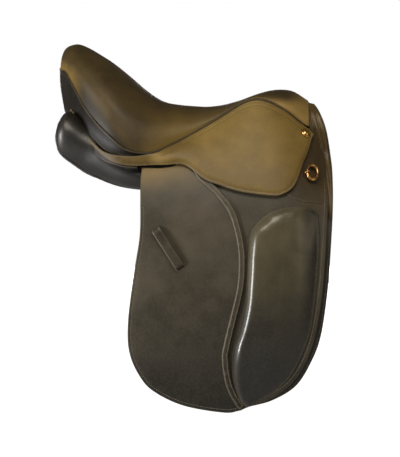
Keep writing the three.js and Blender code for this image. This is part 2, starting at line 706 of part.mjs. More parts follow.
addPair("rear_bar_rivet", barRivet(158), steel);
addPair("front_bar_rivet", barRivet(172), steel);
addPair("keeper", keeper(), strapLeather);
addPair("breastplate_ring", breastplateRing(), brass);
addPair("ring_staple", ringStaple(), brass);
addPair("stud", stud(), brass);

export default saddle;
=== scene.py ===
"""Looks of a dressage saddle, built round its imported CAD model.

The pattern functions work in millimetres, as a saddler's patterns do, in the row frame: +X forward,
+Y the horse's left, +Z up. MM turns them into Blender's metres. The right side is built and the left
is its mirror image.
"""
import math

import bmesh
import bpy
import numpy as np
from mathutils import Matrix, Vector, noise
from mathutils.geometry import delaunay_2d_cdt


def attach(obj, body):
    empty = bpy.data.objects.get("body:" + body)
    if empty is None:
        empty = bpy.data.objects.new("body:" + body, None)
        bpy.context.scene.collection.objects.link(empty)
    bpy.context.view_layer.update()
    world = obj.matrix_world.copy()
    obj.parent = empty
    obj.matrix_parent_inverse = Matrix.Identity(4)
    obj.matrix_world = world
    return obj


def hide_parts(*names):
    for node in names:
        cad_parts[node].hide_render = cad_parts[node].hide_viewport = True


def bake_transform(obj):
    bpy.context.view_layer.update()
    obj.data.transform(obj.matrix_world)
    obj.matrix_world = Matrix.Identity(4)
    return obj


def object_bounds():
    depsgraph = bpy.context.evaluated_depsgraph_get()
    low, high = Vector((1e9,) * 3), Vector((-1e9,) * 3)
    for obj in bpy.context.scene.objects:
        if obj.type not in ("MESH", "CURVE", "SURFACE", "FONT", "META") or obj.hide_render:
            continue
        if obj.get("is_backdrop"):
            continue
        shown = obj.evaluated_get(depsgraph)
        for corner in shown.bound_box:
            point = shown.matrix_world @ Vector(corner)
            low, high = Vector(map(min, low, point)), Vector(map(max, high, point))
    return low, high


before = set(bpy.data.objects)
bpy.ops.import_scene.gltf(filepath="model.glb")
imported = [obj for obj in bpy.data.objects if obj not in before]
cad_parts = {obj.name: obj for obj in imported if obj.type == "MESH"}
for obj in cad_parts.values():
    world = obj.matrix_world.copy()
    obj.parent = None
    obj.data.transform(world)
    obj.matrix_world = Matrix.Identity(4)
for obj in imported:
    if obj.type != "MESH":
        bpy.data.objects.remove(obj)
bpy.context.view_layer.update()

# ---- Driving dimensions, in millimetres ----
MM = 0.001
REAR_X = -249
SEAT_FRONT_X = 190
SEAT_STATIONS = 96
SEAT_ROWS = 72
COVER = 3
RIM_RISE = 2.8
LEATHER = 4
SKIRT_LIFT = 7
SKIRT_BULGE = 8
SWEAT_DEPTH = 20
SHEET_GRID = 5
EDGE_ROUND = 1.3
STRAP_EDGE = 0.9
WELT_RADIUS = 1.4
STITCH_PITCH = 4.0
STITCH_LENGTH = 3.1
STITCH_RADIUS = 0.42
STITCH_SLANT = 0.12
BLOCK_HEIGHT = 28
BILLET_WIDTH = 25
BILLET_TOP_Z = -67.5
BILLET_END_Z = -385
BILLET_THICK = 3.5
BILLET_HOLES = 7
HOLE_PITCH = 25
HOLE_RADIUS = 2.4
WEB_TOP_Z = -22
WEB_END_Z = -64.8
BILLETS = {"front": {"x": 38, "depth": 7}, "rear": {"x": -22, "depth": 13.5}}
RING_RADIUS = 12.7
RING_WIRE = 2.6
RING_SQUASH = 0.82
RING_LEAN = math.radians(30)
RING_SPOT = (196.5, -46)
STUD_SPOT = (188, 22)
KEEPER_SPOT = (-45, -170)
KEEPER_ANGLE = math.radians(-57)


# ---- Curves ----
def profile(*points):
    """A smooth curve of one variable through a few points, flat outside them. It takes arrays."""
    xs, ys = np.array(points, float).T
    index = np.arange(len(xs))
    after = np.minimum(index + 1, len(xs) - 1)
    before = np.maximum(index - 1, 0)
    slopes = (ys[after] - ys[before]) / (xs[after] - xs[before])

    def value(x):
        x = np.clip(np.asarray(x, float), xs[0], xs[-1])
        i = np.clip(np.searchsorted(xs, x, side="right") - 1, 0, len(xs) - 2)
        span = xs[i + 1] - xs[i]
        t = (x - xs[i]) / span
        rise = t * t * (3 - 2 * t)
        ends = ys[i] * (1 - rise) + ys[i + 1] * rise
        return ends + span * t * (1 - t) * (slopes[i] * (1 - t) - slopes[i + 1] * t)

    return value


def smooth(start, stop, value):
    t = np.clip((np.asarray(value, float) - start) / (stop - start), 0, 1)
    return t * t * (3 - 2 * t)


def lerp(a, b, t):
    return a + (b - a) * t


def run_through(points, step=3.0):
    """Points every step along a smooth curve through the given ones. Two points give a straight run."""
    p = np.array(points, float)
    if len(p) == 2:
        fine = np.array([lerp(p[0], p[1], t) for t in np.linspace(0, 1, 60)])
    else:
        padded = np.vstack([2 * p[0] - p[1], p, 2 * p[-1] - p[-2]])
        pieces = []
        for i in range(1, len(padded) - 2):
            a, b, c, d = padded[i - 1 : i + 3]
            t = np.linspace(0, 1, 40, endpoint=False)[:, None]
            bow, twist = 2 * a - 5 * b + 4 * c - d, 3 * b - a - 3 * c + d
            pieces.append(0.5 * (2 * b + (c - a) * t + bow * t**2 + twist * t**3))
        fine = np.vstack([*pieces, p[-1:]])
    return resampled(fine, step)


def resampled(points, step):
    gaps = np.linalg.norm(np.diff(points, axis=0), axis=1)
    along = np.concatenate([[0], np.cumsum(gaps)])
    count = max(2, int(round(along[-1] / step)) + 1)
    at = np.linspace(0, along[-1], count)
    return np.array([np.interp(at, along, points[:, k]) for k in range(points.shape[1])]).T


def closed_outline(*runs, step=3.0):
    """Smooth runs that meet at corners, as one loop that turns anticlockwise in (x, z)."""
    loop = np.vstack([run_through(run, step)[:-1] for run in runs])
    x, z = loop.T
    area = np.sum(x * np.roll(z, -1) - np.roll(x, -1) * z)
    return loop if area > 0 else loop[::-1]


def turns(count):
    """Even steps round a circle, as angles."""
    return np.linspace(0, 2 * np.pi, count, endpoint=False)


def circle(x, z, radius):
    angle = turns(16)
    return np.array([x + radius * np.cos(angle), z + radius * np.sin(angle)]).T


def unit(vectors):
    """Rows of vectors, each brought to length 1."""
    return vectors / (np.linalg.norm(vectors, axis=-1, keepdims=True) + 1e-12)


def outward(loop, closed=True):
    """Unit directions square to a line, on its right-hand side."""
    tangent = unit(np.roll(loop, -1, 0) - np.roll(loop, 1, 0) if closed else np.gradient(loop, axis=0))
    return np.array([tangent[:, 1], -tangent[:, 0]]).T


def offset_line(line, distance):
    return line + outward(line, closed=False) * distance


# ---- The saddle's surfaces ----
seat_top = profile(
    (-249, 141), (-246, 160), (-240, 172), (-228, 178), (-214, 179), (-187, 168), (-158, 150.5),
    (-129, 127.5), (-100, 102.5), (-72, 84), (-43, 74.5), (0, 68), (36, 70), (72, 79), (107, 92),
    (134, 98), (156, 98), (170, 94), (190, 81),
)
seam_z = profile(
    (-249, 134), (-233, 128), (-189, 61), (-148, 19), (-118, -4), (-77, -9), (-36, 7), (5, 30), (42, 52),
    (81, 76), (110, 81), (150, 64), (184, 38.5), (203, 26),
)
seam_y = profile(
    (-249, 20), (-245, 38), (-233, 62), (-215, 92), (-189, 120), (-148, 145), (-118, 150), (-77, 140),
    (-36, 120), (5, 100), (42, 88), (81, 80), (110, 78), (150, 77), (184, 70), (203, 60),
)
skirt_edge = profile(
    (-196, 15), (-165, -11), (-147, -22), (-129, -29), (-95, -33), (-52, -30), (-18, -31), (16, -55),
    (76, -74), (127, -80), (149, -78), (169, -64), (183, -31), (194, -6), (203, 22),
)
channel_top = profile((-215, 22), (-150, 6), (-80, 0), (60, 0), (150, 5), (185, 10))
flap_side = profile(
    (-450, 200), (-300, 193), (-220, 187), (-150, 179), (-100, 169), (-60, 155), (-35, 142), (-10, 124),
    (20, 103), (40, 88),
)
front_wrap = profile((-450, 12), (-200, 12), (-150, 16), (-100, 30), (-40, 58), (40, 60))


def flap_y(x, z):
    forward = np.maximum(0, np.asarray(x) - 120) / 110
    return flap_side(z) - front_wrap(z) * forward**2


def flap_face(x, z):
    """The flap's outer face, which dips under the stirrup bar to leave room for the leather."""
    window = smooth(54, 74, x) * (1 - smooth(112, 130, x))
    return flap_y(x, z) - 14 * window * smooth(-75, -38, z)


def skirt_y(x, z):
    top, bottom = seam_z(x), skirt_edge(x)
    rear = 1 - smooth(-90, -55, x)
    top_y = seam_y(x) + 4 * rear
    bottom_y = lerp(flap_y(x, np.minimum(z, bottom)) + SKIRT_LIFT, top_y, rear)
    s = np.clip((top - z) / (top - bottom), 0, 1)
    return lerp(top_y, bottom_y, s) + SKIRT_BULGE * (1 - rear) * 4 * s * (1 - s)


def seat_point(x, v, depth=0.0):
    """A point of the surface that lies depth under the seat's leather, v from -1 to 1 across it."""
    s = np.abs(v)
    rise = (1 - s**2.4) ** 0.55
    rim = seam_z(x) + RIM_RISE - depth / 2
    dish = 4 * smooth(-225, -170, x) * (1 - smooth(-70, 0, x)) * np.maximum(0, 1 - (s / 0.6) ** 2) ** 2
    z = rim + (seat_top(x) - depth - rim) * rise - dish
    return np.array([x + 0 * s, v * (seam_y(x) - depth), z])


def edge_plan(w, front_x, inset):
    """Plan of the seat's edge from the right front, round the back, to the left front, w from -1 to 1."""
    straight = 0.06
    side = abs(w)
    run = max(0.0, side - straight) / (1 - straight)
    back = (1 - run) ** 6
    x = REAR_X + (front_x - REAR_X) * run**1.5 + inset * back
    half = 20 * side / straight if side < straight else float(seam_y(x - inset * back))
    return x, -np.sign(w) * max(0.0, half - inset * (1 - 0.7 * back)), back


# ---- Mesh building ----
def side_frame(points, surface):
    """Position, outward normal and the surface's slopes at (x, z) points of a right-hand side surface."""
    x, z = points[:, 0], points[:, 1]
    y = surface(x, z)
    slope_x = (surface(x + 1, z) - surface(x - 1, z)) / 2
    slope_z = (surface(x, z + 1) - surface(x, z - 1)) / 2
    normal = unit(np.array([-slope_x, -np.ones_like(x), -slope_z]).T)
    return np.array([x, -y, z]).T, normal, slope_x, slope_z


def inside(points, loop):
    """Which points lie inside a closed loop, by counting crossings."""
    x, z = points[:, 0][:, None], points[:, 1][:, None]
    ax, az = loop.T
    bx, bz = np.roll(loop, -1, 0).T
    crosses = (az > z) != (bz > z)
    with np.errstate(divide="ignore", invalid="ignore"):
        at = ax + (z - az) * (bx - ax) / (bz - az)
    return (np.sum(crosses & (x < at), axis=1) % 2) == 1


def nearest(points, line):
    """Distance from each point to the nearest point of a dense line."""
    return np.sqrt(((points[:, None, :] - line[None, :, :]) ** 2).sum(2)).min(1)


def triangulated(loops, lines, grid):
    """Points and triangles that fill the first loop, leave the other loops open, and follow the lines."""
    low, high = loops[0].min(0), loops[0].max(0)
    gx, gz = np.meshgrid(np.arange(low[0], high[0], grid), np.arange(low[1], high[1], grid * 0.87))
    gx = gx + (np.arange(gx.shape[0]) % 2)[:, None] * grid / 2
    inner = np.array([gx.ravel(), gz.ravel()]).T
    inner = inner[inside(inner, loops[0])]
    for hole in loops[1:]:
        inner = inner[~inside(inner, hole)]
    edge = np.vstack(loops)
    inner = inner[nearest(inner, edge) > grid * 0.55]
    marks = np.vstack(lines) if lines else np.zeros((0, 2))
    if len(marks):
        marks = marks[inside(marks, loops[0]) & (nearest(marks, edge) > 1.0)]
        inner = inner[nearest(inner, marks) > grid * 0.5]
    points = np.vstack([edge, marks, inner])
    edges, start = [], 0
    for loop in loops:
        edges += [(start + i, start + (i + 1) % len(loop)) for i in range(len(loop))]
        start += len(loop)
    found = delaunay_2d_cdt([Vector(p) for p in points], edges, [], 0, 1e-6)
    origin = [group[0] if group else -1 for group in found[3]]
    faces = np.array([[origin[i] for i in face] for face in found[2]])
    centres = points[faces].mean(1)
    keep = inside(centres, loops[0])
    for hole in loops[1:]:
        keep &= ~inside(centres, hole)
    return points, faces[keep]


def leather_sheet(loops, surface, thickness=LEATHER, lines=(), grid=SHEET_GRID, edge=EDGE_ROUND):
    """A cut sheet of leather with rounded edges: vertices, faces, and which faces are the cut edge."""
    edge = min(edge, thickness / 2)
    inset = [loop - outward(loop) * edge for loop in loops]
    flat, triangles = triangulated(inset, list(lines), grid)
    centre, normal, slope_x, slope_z = side_frame(flat, surface)
    count = len(flat)
    verts = [centre, centre - normal * thickness]
    faces = [tuple(f) for f in triangles] + [tuple(f[::-1] + count) for f in triangles]
    marks = [0] * len(faces)
    start, total = 0, 2 * count
    angles = np.radians([30, 60, 90])
    for loop in inset:
        n = len(loop)
        direction = outward(loop)
        part = slice(start, start + n)
        lift = -(slope_x[part] * direction[:, 0] + slope_z[part] * direction[:, 1])
        out = unit(np.array([direction[:, 0], lift, direction[:, 1]]).T)
        rings = [np.arange(start, start + n)]
        depths = [edge * (1 - math.cos(a)) for a in angles]
        depths += [thickness - d for d in reversed(depths)]
        reach = [edge * math.sin(a) for a in (*angles, *reversed(angles))]
        for depth, r in zip(depths, reach):
            verts.append(centre[part] + out * r - normal[part] * depth)
            rings.append(np.arange(total, total + n))
            total += n
        rings.append(np.arange(start, start + n) + count)
        for a, b in zip(rings, rings[1:]):
            faces += [(a[i], b[i], b[(i + 1) % n], a[(i + 1) % n]) for i in range(n)]
            marks += [1] * n
        start += n
    return np.vstack(verts), faces, marks


def frames_along(points):
    """Two directions square to a line and to each other, turning as little as possible."""
    tangent = unit(np.gradient(points, axis=0))
    side = np.cross(tangent[0], [0, 0, 1.0])
    if np.linalg.norm(side) < 0.1:
        side = np.cross(tangent[0], [0, 1.0, 0])
    sides = []
    for t in tangent:
        side = unit(side - t * (side @ t))
        sides.append(side)
    return np.array(sides), np.cross(tangent, sides)


def swept(rings, count, looped=False):
    """Faces between rings of count points each, with a face over either end unless the rings meet."""
    faces = []
    for i in range(rings if looped else rings - 1):
        a, b = i * count, (i + 1) % rings * count
        faces += [(a + k, a + (k + 1) % count, b + (k + 1) % count, b + k) for k in range(count)]
    if not looped:
        faces += [tuple(range(count))[::-1], tuple(range((rings - 1) * count, rings * count))]
    return faces


def tube(points, radius, count=10):
    """A round cord along a line."""
    side, up = frames_along(points)
    angle = turns(count)[:, None]
    spokes = side[:, None] * np.cos(angle) + up[:, None] * np.sin(angle)
    return (points[:, None] + radius * spokes).reshape(-1, 3), swept(len(points), count)


def grid_shell(outer, inner):
    """A closed shell between two grids of points with the same layout."""
    rows, columns = outer.shape[:2]
    index = np.arange(rows * columns).reshape(rows, columns)
    total = index.size
    faces = []
    corners = index[:-1, :-1], index[:-1, 1:], index[1:, 1:], index[1:, :-1]
    for quad in zip(*(corner.ravel() for corner in corners)):
        faces += [quad, tuple(i + total for i in quad[:1] + quad[:0:-1])]
    rim = [*index[:, 0], *index[-1, 1:], *index[-2::-1, -1], *index[0, -2:0:-1]]
    faces += [(a, b, b + total, a + total) for a, b in zip(rim, rim[1:] + rim[:1])]
    return np.vstack([outer.reshape(-1, 3), inner.reshape(-1, 3)]), faces


def shell_of(point, across, down, depths):
    """A closed shell through point(across, down, depth) at two depths."""
    skins = [np.array([[point(a, d, depth) for a in across] for d in down], float) for depth in depths]
    return grid_shell(*skins)


def joined(*parts):
    """Several (vertices, faces) as one."""
    verts, faces, start = [], [], 0
    for part in parts:
        verts.append(np.asarray(part[0]))
        faces += [tuple(int(i) + start for i in face) for face in part[1]]
        start += len(part[0])
    return np.vstack(verts), faces


# Sections of one stitch: shares of its length along it, of its radius above its middle, and of its radius.
STITCH_SECTIONS = ((-0.5, -0.9, 0.35), (-0.36, 0.0, 0.9), (0, 0.3, 1.0), (0.36, 0.0, 0.9), (0.5, -0.9, 0.35))


def stitches(points, normals):
    """A row of thread stitches along a line, each a short rounded bar that dips in at its ends."""
    line = resampled(np.hstack([points, normals]), STITCH_PITCH / 4)
    along = np.arange(2, len(line) - 2, 4)
    spots, normals = line[along, :3], unit(line[along, 3:])
    tangents = unit(line[along + 2, :3] - line[along - 2, :3])
    angle = turns(6)
    bar = swept(len(STITCH_SECTIONS), len(angle))
    verts, faces = [], []
    for i, (spot, tangent, normal) in enumerate(zip(spots, tangents, normals)):
        side = np.cross(normal, tangent)
        slanted = tangent + side * STITCH_SLANT
        spokes = np.outer(np.cos(angle), side) + np.outer(np.sin(angle), normal)
        for share, rise, girth in STITCH_SECTIONS:
            ring = spot + slanted * share * STITCH_LENGTH
            verts.append(ring + STITCH_RADIUS * (normal * rise + spokes * girth))
        start = i * len(STITCH_SECTIONS) * len(angle)
        faces += [tuple(start + k for k in face) for face in bar]
    return np.vstack(verts), faces


def side_stitches(lines, surface):
    """Rows of stitches along lines on a side surface."""
    rows = []
    for line in lines:
        spot, normal, _, _ = side_frame(resampled(line, 2.0), surface)
        rows.append(stitches(spot + normal * 0.1, normal))
    return joined(*rows)


def side_tube(line, surface, radius, lift):
    spot, normal, _, _ = side_frame(resampled(line, 3.0), surface)
    return tube(spot + normal * lift, radius, 8)


def groove(line, depth=0.45, width=1.3):
    """How far a row of stitches pulls the leather in at (x, z)."""
    dense = resampled(line, 1.5)

    def sink(x, z):
        points = np.array([np.ravel(x), np.ravel(z)]).T
        near = nearest(points, dense).reshape(np.shape(x))
        return -depth * np.exp(-((near / width) ** 2))

    return sink


def furrow_lines(line, spread=1.7):
    return [resampled(offset_line(line, distance), 2.5) for distance in (0, spread, -spread)]


def added(name, data):
    """A new object in the scene."""
    obj = bpy.data.objects.new(name, data)
    bpy.context.scene.collection.objects.link(obj)
    return obj


def make_object(name, shape, materials):
    """A Blender mesh in metres from millimetre vertices, closed and with its faces turned out."""
    mesh = bpy.data.meshes.new(name)
    verts = np.asarray(shape[0], float) * MM
    mesh.from_pydata([tuple(v) for v in verts], [], [tuple(map(int, f)) for f in shape[1]])
    if len(shape) > 2:
        mesh.polygons.foreach_set("material_index", shape[2])
    for material in materials:
        mesh.materials.append(material)
    b = bmesh.new()
    b.from_mesh(mesh)
    bmesh.ops.recalc_face_normals(b, faces=b.faces)
    b.to_mesh(mesh)
    b.free()
    mesh.polygons.foreach_set("use_smooth", [True] * len(mesh.polygons))
    return added(name, mesh)


def mirrored(shape):
    verts = np.asarray(shape[0], float) * (1, -1, 1)
    return (verts, [tuple(f)[::-1] for f in shape[1]], *shape[2:])


def settle(obj, body, nodes=(), bend=None):
    """Ties a piece to its body and hides the CAD nodes that it stands for. bend is the start and end of a
    stretch between the saddle and that body; a piece given one is not tied to the body, and its place is
    baked into its mesh instead."""
    if bend:
        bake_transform(obj)
    else:
        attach(obj, body)
    if nodes:
        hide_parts(*nodes)


def single(name, shape, material, nodes=()):
    settle(make_object(name, shape, [material]), "saddle", nodes)


def both(name, shape, materials, body, nodes=(), bend=()):
    """The right-hand piece and its mirror image. A body or node that ends in _ takes the side's name."""
    for side, turn in (("right", 1), ("left", -1)):
        obj = make_object(f"{name}_{side}", shape if turn == 1 else mirrored(shape), materials)
        body_here, *nodes_here = (word + side if word.endswith("_") else word for word in (body, *nodes))
        bend_here = [(x, turn * y, z) for x, y, z in bend]
        settle(obj, body_here, nodes_here, bend_here)


# ---- Materials ----
def srgb(colour):
    """Linear colour of an 8-bit screen colour."""
    return tuple(((c / 255 + 0.055) / 1.055) ** 2.4 if c > 10 else c / 255 / 12.92 for c in colour)


def dim(colour, share):
    return tuple(min(1, share * c) for c in colour)


class Shader:
    """A node tree with short calls for the nodes that the materials share."""

    def __init__(self, name):
        self.material = bpy.data.materials.new(name)
        self.material.use_nodes = True
        self.tree = self.material.node_tree
        self.surface = self.tree.nodes["Principled BSDF"]
        self.place = self.node("ShaderNodeTexCoord").outputs["Object"]

    def feed(self, socket, value):
        """Sets a socket to a number or colour, or links it from another socket."""
        if isinstance(value, bpy.types.NodeSocket):
            self.tree.links.new(value, socket)
        else:
            socket.default_value = (*value, 1) if isinstance(value, tuple) else value

    def node(self, kind, inputs=(), **settings):
        made = self.tree.nodes.new(kind)
        for key, value in settings.items():
            setattr(made, key, value)
        for key, value in dict(inputs).items():
            self.feed(made.inputs[key], value)
        return made

    def noise(self, scale, detail=3.0, roughness=0.5, distortion=0.0):
        inputs = {"Scale": scale, "Detail": detail, "Roughness": roughness, "Distortion": distortion}
        return self.node("ShaderNodeTexNoise", {"Vector": self.place, **inputs}).outputs["Fac"]

    def voronoi(self, scale):
        return self.node("ShaderNodeTexVoronoi", {"Vector": self.place, "Scale": scale}).outputs["Distance"]

    def span(self, value, low, high, to_low=0.0, to_high=1.0, **settings):
        inputs = {"Value": value, "From Min": low, "From Max": high, "To Min": to_low, "To Max": to_high}
        return self.node("ShaderNodeMapRange", inputs, **settings).outputs["Result"]

    def mix(self, factor, a, b):
        return self.node("ShaderNodeMix", {0: factor, 6: a, 7: b}, data_type="RGBA").outputs[2]

    def maths(self, operation, a, b):
        return self.node("ShaderNodeMath", {0: a, 1: b}, operation=operation).outputs[0]

    def axis(self, letter):
        return self.node("ShaderNodeSeparateXYZ", {0: self.place}).outputs[letter]

    def edges(self, low, high, share):
        """share on sharp outward edges, where leather rubs pale and metal rubs bright, and 0 elsewhere."""
        return self.span(self.node("ShaderNodeNewGeometry").outputs["Pointiness"], low, high, 0.0, share)

    def bump(self, layers):
        """Chains (height, strength, distance in metres) into one normal."""
        below = {}
        for height, strength, distance in layers:
            inputs = {"Height": height, "Strength": strength, "Distance": distance}
            below = {"Normal": self.node("ShaderNodeBump", {**inputs, **below}).outputs["Normal"]}
        self.feed(self.surface.inputs["Normal"], below["Normal"])

    def finish(self, colour, roughness, **others):
        for key, value in {"Base_Color": colour, "Roughness": roughness, **others}.items():
            self.feed(self.surface.inputs[key.replace("_", " ")], value)
        return self.material


def leather(name, base, deep, worn, gloss, grain, creases, painted_shades=(), coat=0.0, shine=0.35, haze=0.22):
    """Dyed leather: pores, fine creases, patches of deeper colour, rubbed edges and uneven polish.
    Each painted shade is (colour, z, z, x, x): a tone of painted light and shade that comes in from the first
    height to the second and goes out from the first x to the second. A sixth number slopes its heights along
    x.
    The painted shades below stand in for lit tops, sheen and highlights, and for shade low down and in
    recesses."""
    s = Shader(name)
    base, deep, worn = map(srgb, (base, deep, worn))
    pores = s.voronoi(grain)
    cloud = s.noise(9, 3, 0.6)
    fine = s.noise(240, 4, 0.6)
    crease = s.noise(38, 5, 0.62, 1.2)
    patches = s.maths("ADD", s.maths("MULTIPLY", cloud, 0.65), s.maths("MULTIPLY", s.noise(30, 3, 0.5), 0.35))
    patches = s.span(patches, 0.4, 0.6)
    colour = s.mix(patches, deep, base)
    height = s.maths("ADD", s.axis("Z"), s.span(s.noise(6, 2), 0.3, 0.7, -0.015, 0.015))
    # Painted light and shade, laid over the leather's colour by height and by length.
    for painted_tone, z_from, z_to, x_from, x_to, *slope in painted_shades:
        painted_tone = srgb(painted_tone)
        level = s.maths("ADD", height, s.maths("MULTIPLY", s.axis("X"), slope[0])) if slope else height
        risen = s.span(level, z_from, z_to, interpolation_type="SMOOTHSTEP")
        share = s.maths("MULTIPLY", risen, s.span(s.axis("X"), x_from, x_to, 1.0, 0.0))
        colour = s.mix(share, colour, s.mix(patches, dim(painted_tone, 0.72), painted_tone))
    colour = s.mix(s.span(pores, 0.0, 0.45, 0.22, 0.0), colour, dim(deep, 0.45))
    colour = s.mix(s.span(fine, 0.4, 0.7, 0.0, 0.12), colour, worn)
    colour = s.mix(s.edges(0.51, 0.57, 0.55), colour, worn)
    rough = s.span(cloud, 0.3, 0.7, gloss - 0.05, gloss + 0.05)
    rough = s.maths("ADD", rough, s.span(fine, 0.3, 0.7, -0.04, 0.05))
    s.bump([(pores, 0.28, 0.00012), (s.noise(420, 3, 0.6), 0.20, 0.00012), (crease, creases, 0.0006)])
    return s.finish(colour, rough, Coat_Weight=coat, Coat_Roughness=haze, Specular_IOR_Level=shine)


def thread(name, colour):
    s = Shader(name)
    colour = srgb(colour)
    twist = s.noise(1600, 2, 0.6)
    tone = s.mix(s.span(twist, 0.3, 0.7), dim(colour, 0.6), colour)
    s.bump([(twist, 0.4, 0.0001)])
    return s.finish(tone, s.span(twist, 0.3, 0.7, 0.5, 0.75), Sheen_Weight=0.2)


def metal(name, base, dull, gloss):
    s = Shader(name)
    base, dull = srgb(base), srgb(dull)
    tarnish = s.noise(70, 4, 0.6)
    scratch = s.noise(900, 2, 0.5, 3.0)
    colour = s.mix(s.span(tarnish, 0.42, 0.72), base, dull)
    colour = s.mix(s.edges(0.5, 0.6, 0.6), colour, dim(base, 1.15))
    rough = s.span(tarnish, 0.35, 0.75, gloss, gloss + 0.18)
    rough = s.maths("ADD", rough, s.span(scratch, 0.4, 0.7, 0, 0.08))
    s.bump([(scratch, 0.12, 0.0001), (tarnish, 0.1, 0.0003)])
    return s.finish(colour, rough, Metallic=1.0)


def woven(name, base, dark, pitch):
    """Flat webbing or lining: warp and weft threads crossing at an even pitch."""
    s = Shader(name)
    base, dark = srgb(base), srgb(dark)
    inputs = {"Vector": s.place, "Scale": 1 / pitch / 3.2, "Distortion": 0.4}
    threads = [s.node("ShaderNodeTexWave", inputs, bands_direction=way).outputs["Fac"] for way in ("X", "Z")]
    weave = s.maths("MAXIMUM", *threads)
    cloud = s.noise(22, 3)
    colour = s.mix(s.span(weave, 0.2, 0.9), dark, base)
    colour = s.mix(s.span(cloud, 0.35, 0.7, 0.0, 0.3), colour, dark)
    s.bump([(weave, 0.5, 0.0004), (s.noise(1200, 2), 0.2, 0.0001)])
    return s.finish(colour, s.span(cloud, 0.3, 0.7, 0.75, 0.95), Sheen_Weight=0.15)


def porous(name, base, dark, gloss, scale):
    """Foam or moulded composite: an open or pebbled skin."""
    s = Shader(name)
    base, dark = srgb(base), srgb(dark)
    cells = s.voronoi(scale)
    cloud = s.noise(25, 3)
    colour = s.mix(s.span(cells, 0.05, 0.5), dark, base)
    colour = s.mix(s.span(cloud, 0.3, 0.7, 0.0, 0.25), colour, dark)
    s.bump([(cells, 0.35, 0.0005), (s.noise(scale * 2.5, 3), 0.2, 0.0002)])
    return s.finish(colour, s.span(cloud, 0.3, 0.7, gloss - 0.06, gloss + 0.06))


# Ranges well outside the saddle, for a shade that has no limit in height or in length.
ALL_HEIGHTS = (-2.0, -1.9)
ALL_LENGTH = (9.0, 10.0)
seat_leather = leather(
    "seat_leather", (68, 55, 29), (54, 44, 23), (108, 90, 52), 0.50, 620, 0.25, shine=0.28,
    painted_shades=(
        # Painted sheen: warm light on the seat's lower side near the seam, forward of the middle.
        ((120, 98, 46), 0.075, 0.02, -0.04, -0.10),
        # Painted sheen: warm light on the seat's lower side at the pommel.
        ((146, 120, 68), 0.098, 0.078, 0.14, 0.09),
        # Painted shade: a dark band along the rear seam, where the seat's leather turns under.
        ((34, 28, 16), -0.112, -0.138, -0.10, -0.075, 1.1),
        # Painted highlight: a golden strip just above the welt at the cantle.
        ((116, 92, 44), -0.098, -0.125, -0.222, -0.195, 1.1),
    ),
)
# Painted light: the skirt's leather is the seat's olive brown, made lighter and golden for the warm light
# that falls on the skirt.
skirt_leather = leather(
    "skirt_leather", (120, 98, 48), (98, 79, 37), (146, 122, 74), 0.48, 560, 0.22, shine=0.28,
    # Painted shade: the skirt's rear tail darker, in the shade under the cantle.
    painted_shades=(((60, 48, 28), *ALL_HEIGHTS, -0.15, -0.05),),
)
flap_leather = leather(
    "flap_leather", (74, 67, 54), (56, 51, 41), (98, 88, 70), 0.46, 560, 0.22,
    painted_shades=(
        # Painted light: the flap's top, where it turns in towards the tree, lighter and golden towards the
        # rear.
        ((114, 93, 50), -0.095, -0.03, -0.03, 0.03),
        # Painted shade: the front of the flap's top darker and browner, under the skirt's edge.
        ((68, 54, 30), -0.14, -0.04, 0.2, 0.1),
        # Painted shade: the flap darker towards its bottom.
        ((34, 32, 27), -0.2, -0.45, *ALL_LENGTH),
    ),
)
block_leather = leather(
    "block_leather", (48, 44, 36), (36, 33, 27), (98, 92, 80), 0.35, 700, 0.2, coat=0.3, shine=0.5,
    painted_shades=(
        # Painted light: the pad's upper face lighter olive, behind its front edge.
        ((86, 79, 58), -0.33, -0.17, 0.18, 0.21),
        # Painted shade: the pad darker towards its bottom.
        ((28, 26, 22), -0.26, -0.42, *ALL_LENGTH),
        # Painted shade: the pad's front edge dark, where it falls to the flap.
        ((26, 22, 15), *ALL_HEIGHTS, 0.207, 0.178),
    ),
)
panel_leather = leather(
    "panel_leather", (22, 19, 15), (15, 13, 10), (66, 60, 52), 0.46, 700, 0.2, coat=0.75, haze=0.4
)
trim_leather = leather("trim_leather", (34, 28, 19), (24, 20, 13), (84, 72, 48), 0.42, 700, 0.2)
facing_leather = leather(
    "facing_leather", (30, 25, 19), (20, 17, 13), (66, 58, 46), 0.5, 700, 0.2, shine=0.25
)
pommel_leather = leather("pommel_leather", (92, 74, 38), (54, 43, 22), (140, 116, 66), 0.40, 620, 0.25)
strap_leather = leather("strap_leather", (60, 54, 44), (46, 41, 33), (122, 112, 92), 0.38, 560, 0.2)
cut_edge = leather("cut_edge", (84, 72, 52), (54, 46, 34), (140, 124, 96), 0.42, 900, 0.2)
dark_edge = leather("dark_edge", (44, 38, 30), (30, 26, 20), (110, 98, 78), 0.40, 900, 0.2)
dark_thread = thread("dark_thread", (52, 44, 32))
flap_thread = thread("flap_thread", (128, 118, 98))
brass = metal("brass", (226, 178, 110), (150, 104, 52), 0.2)
steel = metal("steel", (168, 170, 174), (104, 106, 110), 0.3)
webbing = woven("webbing", (196, 184, 152), (128, 116, 90), 0.0022)
foam = porous("foam", (214, 204, 160), (150, 138, 96), 0.9, 500)
moulding = porous("moulding", (52, 54, 56), (30, 31, 33), 0.55, 900)


# ---- Seat ----
def wander(points, scale, amount):
    """Small smooth unevenness, the same on every run, for hand-stuffed and hand-pulled surfaces."""
    return np.array([noise.noise(Vector(p) * scale) for p in points]) * amount


